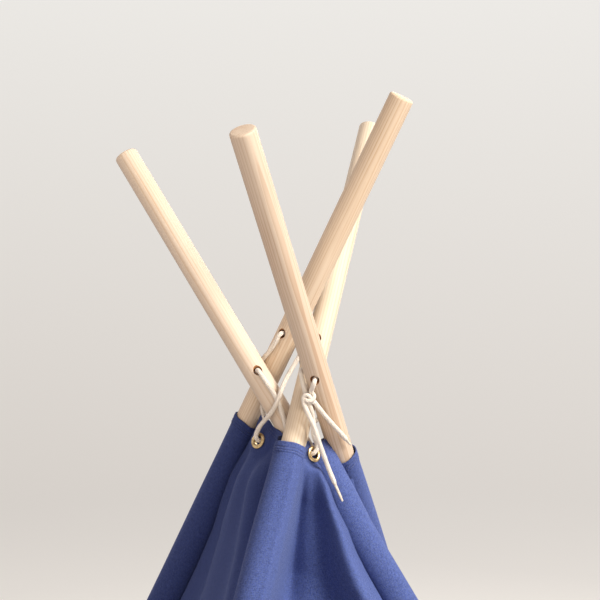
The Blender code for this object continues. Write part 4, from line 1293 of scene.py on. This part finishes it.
for side, (u0, u1), body, pole in (("left", (0.0, 0.4985), "door_flap_left_body", "front_left"), ("right", (0.5015, 1.0), "door_flap_right_body", "front_right")):
    g = flap_grid(u0, u1, 60, 110, 1)
    t = (g["u"] - u0) / (u1 - u0)
    free = t if side == "left" else 1 - t
    r = np.random.default_rng(41 if side == "left" else 43)
    waves = sum(math.sin(ph) * np.sin(g["u"] * k + ph + g["w"] * f) / i for i, (k, f, ph) in enumerate(
        [(r.uniform(16, 60), r.uniform(-4, 4), r.uniform(0, 6.28)) for _ in range(7)], 1))
    g["pts"] = g["pts"] + g["normal"] * (0.0042 * waves * smooth01(free / 0.12) * smooth01((1 - g["w"]) / 0.12) + 0.0030 * smooth01(free / 0.2) * smooth01((1 - g["w"]) / 0.2))[..., None]
    g["weight"] = np.zeros_like(g["u"])
    obj = to_mesh("door_flap_cloth_" + side, g, (0, g["u"].shape[1] - 1), PANEL_T, ("bottom",), None)
    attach(obj, body)
    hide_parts("door_flap_" + side)
    edge_low, edge_high = (g["pts"][0, 0], g["pts"][-1, 0]) if side == "left" else (g["pts"][0, -1], g["pts"][-1, -1])
    across_way = (g["pts"][0, -1] - g["pts"][0, 0]) * (1 if side == "left" else -1)
    flaps[side] = (obj, edge_low, across_way / np.linalg.norm(across_way))

# ---------------------------------------------------------------- door ties: narrow canvas tape, sewn on at the top
for side, name in (("left", "front_left"), ("right", "front_right")):
    p = P[name]
    n_rows, half_w = 60, 0.006
    at = np.linspace(0, 1, n_rows)
    roll0 = math.atan2(-1, 0)
    rows = []
    for q in at:
        s = 0.50 - 0.20 * q
        skin = float(skin_radius(name, np.array([roll0]), np.array([p.sleeve_top - s]))[0])
        lift = 0.0009 + 0.0016 * math.sin(q * 7.0) ** 2 * q
        middle = arr(p.at(s)) - arr(p.y) * (skin + lift)
        sway = arr(p.x) * (0.0016 * math.sin(q * 5))
        rows.append([middle + sway + arr(p.x) * (half_w * c) - arr(p.y) * (0.00035 * math.cos(c * math.pi / 2)) for c in np.linspace(-1, 1, 7)])
    pts = arr(rows)
    g = dict(pts=pts[::-1], normal=np.broadcast_to(-arr(p.y), pts.shape), weight=np.zeros(pts.shape[:2]), u=np.zeros(pts.shape[:2]), w=np.zeros(pts.shape[:2]))
    obj = to_mesh("door_tie_tape_" + side, g, (0, 6), 0.0012, (), None)
    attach(obj, LEG[name])
    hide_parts("door_tie_" + side)

# ---------------------------------------------------------------- eyelets and washers
ro, rh, t = EYELET_D / 2, EYELET_HOLE / 2, PANEL_T / 2 + EYELET_SEAT
rb = rh + 0.0009


def ring_mesh(name, profile, m):
    """A closed profile turned about Z."""
    verts, faces = lathe(profile + [profile[0]], 72)
    mesh = bpy.data.meshes.new(name)
    mesh.from_pydata(verts, [], faces)
    bm = bmesh.new()
    bm.from_mesh(mesh)
    bmesh.ops.remove_doubles(bm, verts=bm.verts, dist=1e-8)
    bmesh.ops.recalc_face_normals(bm, faces=bm.faces)
    bm.to_mesh(mesh)
    bm.free()
    mesh.shade_smooth()
    mesh.set_sharp_from_angle(angle=math.radians(50))
    obj = new_object(name, mesh, BRASS)
    obj.matrix_world = m
    return obj


EYELET_BODY = {"front": "front_left_leg", "right": "back_right_leg", "left": "cover_hub", "back": "cover_hub"}
for side, (c, n, up) in eyelet_look.items():
    m = Matrix.Translation(c) @ Matrix((up.cross(n), up, n)).transposed().to_4x4()
    rolled = arc((ro + rh) / 2 - 0.0002, t - 0.0001, (ro - rh) / 2 + 0.0001, 0, 180, 14)
    rolled = [(r, t - 0.0001 + (z - t + 0.0001) * 0.72) for r, z in rolled]
    flange = ring_mesh("eyelet_brass_" + side, rolled + [(rh, -t - 0.0008), (rh + 0.0003, -t - 0.0018), (rh + 0.0010, -t - 0.0022), (rb + 0.0010, -t - 0.0019),
                                                         (rb + 0.0010, -t - 0.0014), (rb, -t - 0.0012), (rb, t - 0.0004), (ro - 0.0004, t - 0.0004)], m)
    washer = ring_mesh("eyelet_back_" + side, [(ro, -t), (ro - 0.0003, -t - 0.0005), (ro - 0.0012, -t - 0.0009), (rb + 0.0016, -t - 0.0011), (rb + 0.0003, -t - 0.0009), (rb + 0.0003, -t)], m)
    for obj, node in ((flange, "eyelet_" + side), (washer, "eyelet_washer_" + side)):
        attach(obj, EYELET_BODY[side])
        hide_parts(node)

# ---------------------------------------------------------------- the door flaps take meshes of their own
for name, far, pieces in (("lacing_cord", "knot", [tie_knot]), ("tie_cord_loop", "knot", []), ("tie_tail_long", "bare", []), ("tie_tail_short", "bare", [])):
    obj, path, length = cords[name]
for side, (obj, at_point, way) in flaps.items():
    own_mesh(obj)

# ---------------------------------------------------------------- studio: a pale round cyclorama, soft light
# painted light: the backdrop glows by its own emission, painted brighter higher up and towards one side, and its paper
# colour is painted darker lower down
g = Graph("studio_paper_painted_light")
sep = g.node("ShaderNodeSeparateXYZ")
g.put(sep.inputs[0], g.coords("Object"))
rise = g.span(sep.outputs[2], 0.0, 4.5, 0.0, 1.0, smooth=False)
paper = g.mix(rise, rgba(198, 192, 184), rgba(206, 203, 197))
backdrop_painted_light = g.mix(rise, rgba(176, 174, 166), rgba(204, 205, 199))
turned = g.math("SUBTRACT", g.math("MULTIPLY", sep.outputs[0], 0.954), g.math("MULTIPLY", sep.outputs[1], 0.298))
backdrop_painted_light = g.mix(g.span(turned, -3.0, 3.0, 0.0, 0.10, smooth=False), backdrop_painted_light, rgba(255, 255, 252))
PAPER = g.finish(Base_Color=paper, Emission_Color=backdrop_painted_light, Emission_Strength=0.93, Roughness=0.95, Specular_IOR_Level=0.1,
                 Normal=g.bump(g.noise(g.scaled(g.coords("Object"), (180, 180, 180)), 1.0), 0.0002, 0.2))
profile = [(0.02, 0.0), (3.0, 0.0), (6.0, 0.0)] + [(7.0 + 3.0 * math.sin(math.radians(a)), 3.0 - 3.0 * math.cos(math.radians(a))) for a in range(0, 91, 6)] + [(10.0, 5.0), (10.0, 7.5), (10.0, 9.0)]
verts, faces = lathe(profile, 96)
mesh = bpy.data.meshes.new("cyclorama")
mesh.from_pydata(verts, [], [f[::-1] for f in faces] + [tuple(range(0, 96 * len(profile), len(profile)))[::-1]])
mesh.shade_smooth()
cyclorama = new_object("cyclorama", mesh, PAPER)
cyclorama.visible_diffuse = False


def lamp(name, at, aim, size, power, colour):
    data = bpy.data.lights.new(name, "AREA")
    data.shape, data.size, data.energy, data.color = "DISK", size, power, colour
    obj = bpy.data.objects.new(name, data)
    scene.collection.objects.link(obj)
    obj.location = at
    obj.rotation_euler = (Vector(aim) - Vector(at)).to_track_quat("-Z", "Y").to_euler()
    obj.visible_camera = False
    return obj


HUB = Vector((-0.05, -0.03, 1.2))
lamp("key", HUB + toward(59) * 3.0 + Vector((0, 0, 2.1)), HUB, 1.8, 232, (1.0, 0.975, 0.94))
lamp("back_left", HUB + toward(-150) * 3.2 + Vector((0, 0, 1.4)), HUB, 2.6, 17, (1.0, 0.985, 0.96))
lamp("back_right", HUB + toward(150) * 3.2 + Vector((0, 0, 1.6)), HUB, 2.6, 36, (1.0, 0.985, 0.96))
# a warm card that only brightens the bare wood and the cord
bright = bpy.data.collections.new("wood_and_cord")
for obj in scene.objects:
    if obj.type == "MESH" and (obj.name.startswith(("wood_upper", "tie_", "lacing_cord_cotton", "pole_lower"))):
        bright.objects.link(obj)
for tag, psi, rise, power in (("left", -58, 0.5, 36), ("front", 8, -0.6, 62)):
    card = lamp("card_" + tag, HUB + toward(psi) * 3.2 + Vector((0, 0, rise)), HUB, 2.8, power, (1.0, 0.895, 0.775))
    card.light_linking.receiver_collection = bright
world = bpy.data.worlds.new("studio")
scene.world = world
world.use_nodes = True
world.node_tree.nodes["Background"].inputs["Color"].default_value = (1.02, 0.95, 1.06, 1)
world.node_tree.nodes["Background"].inputs["Strength"].default_value = 0.36
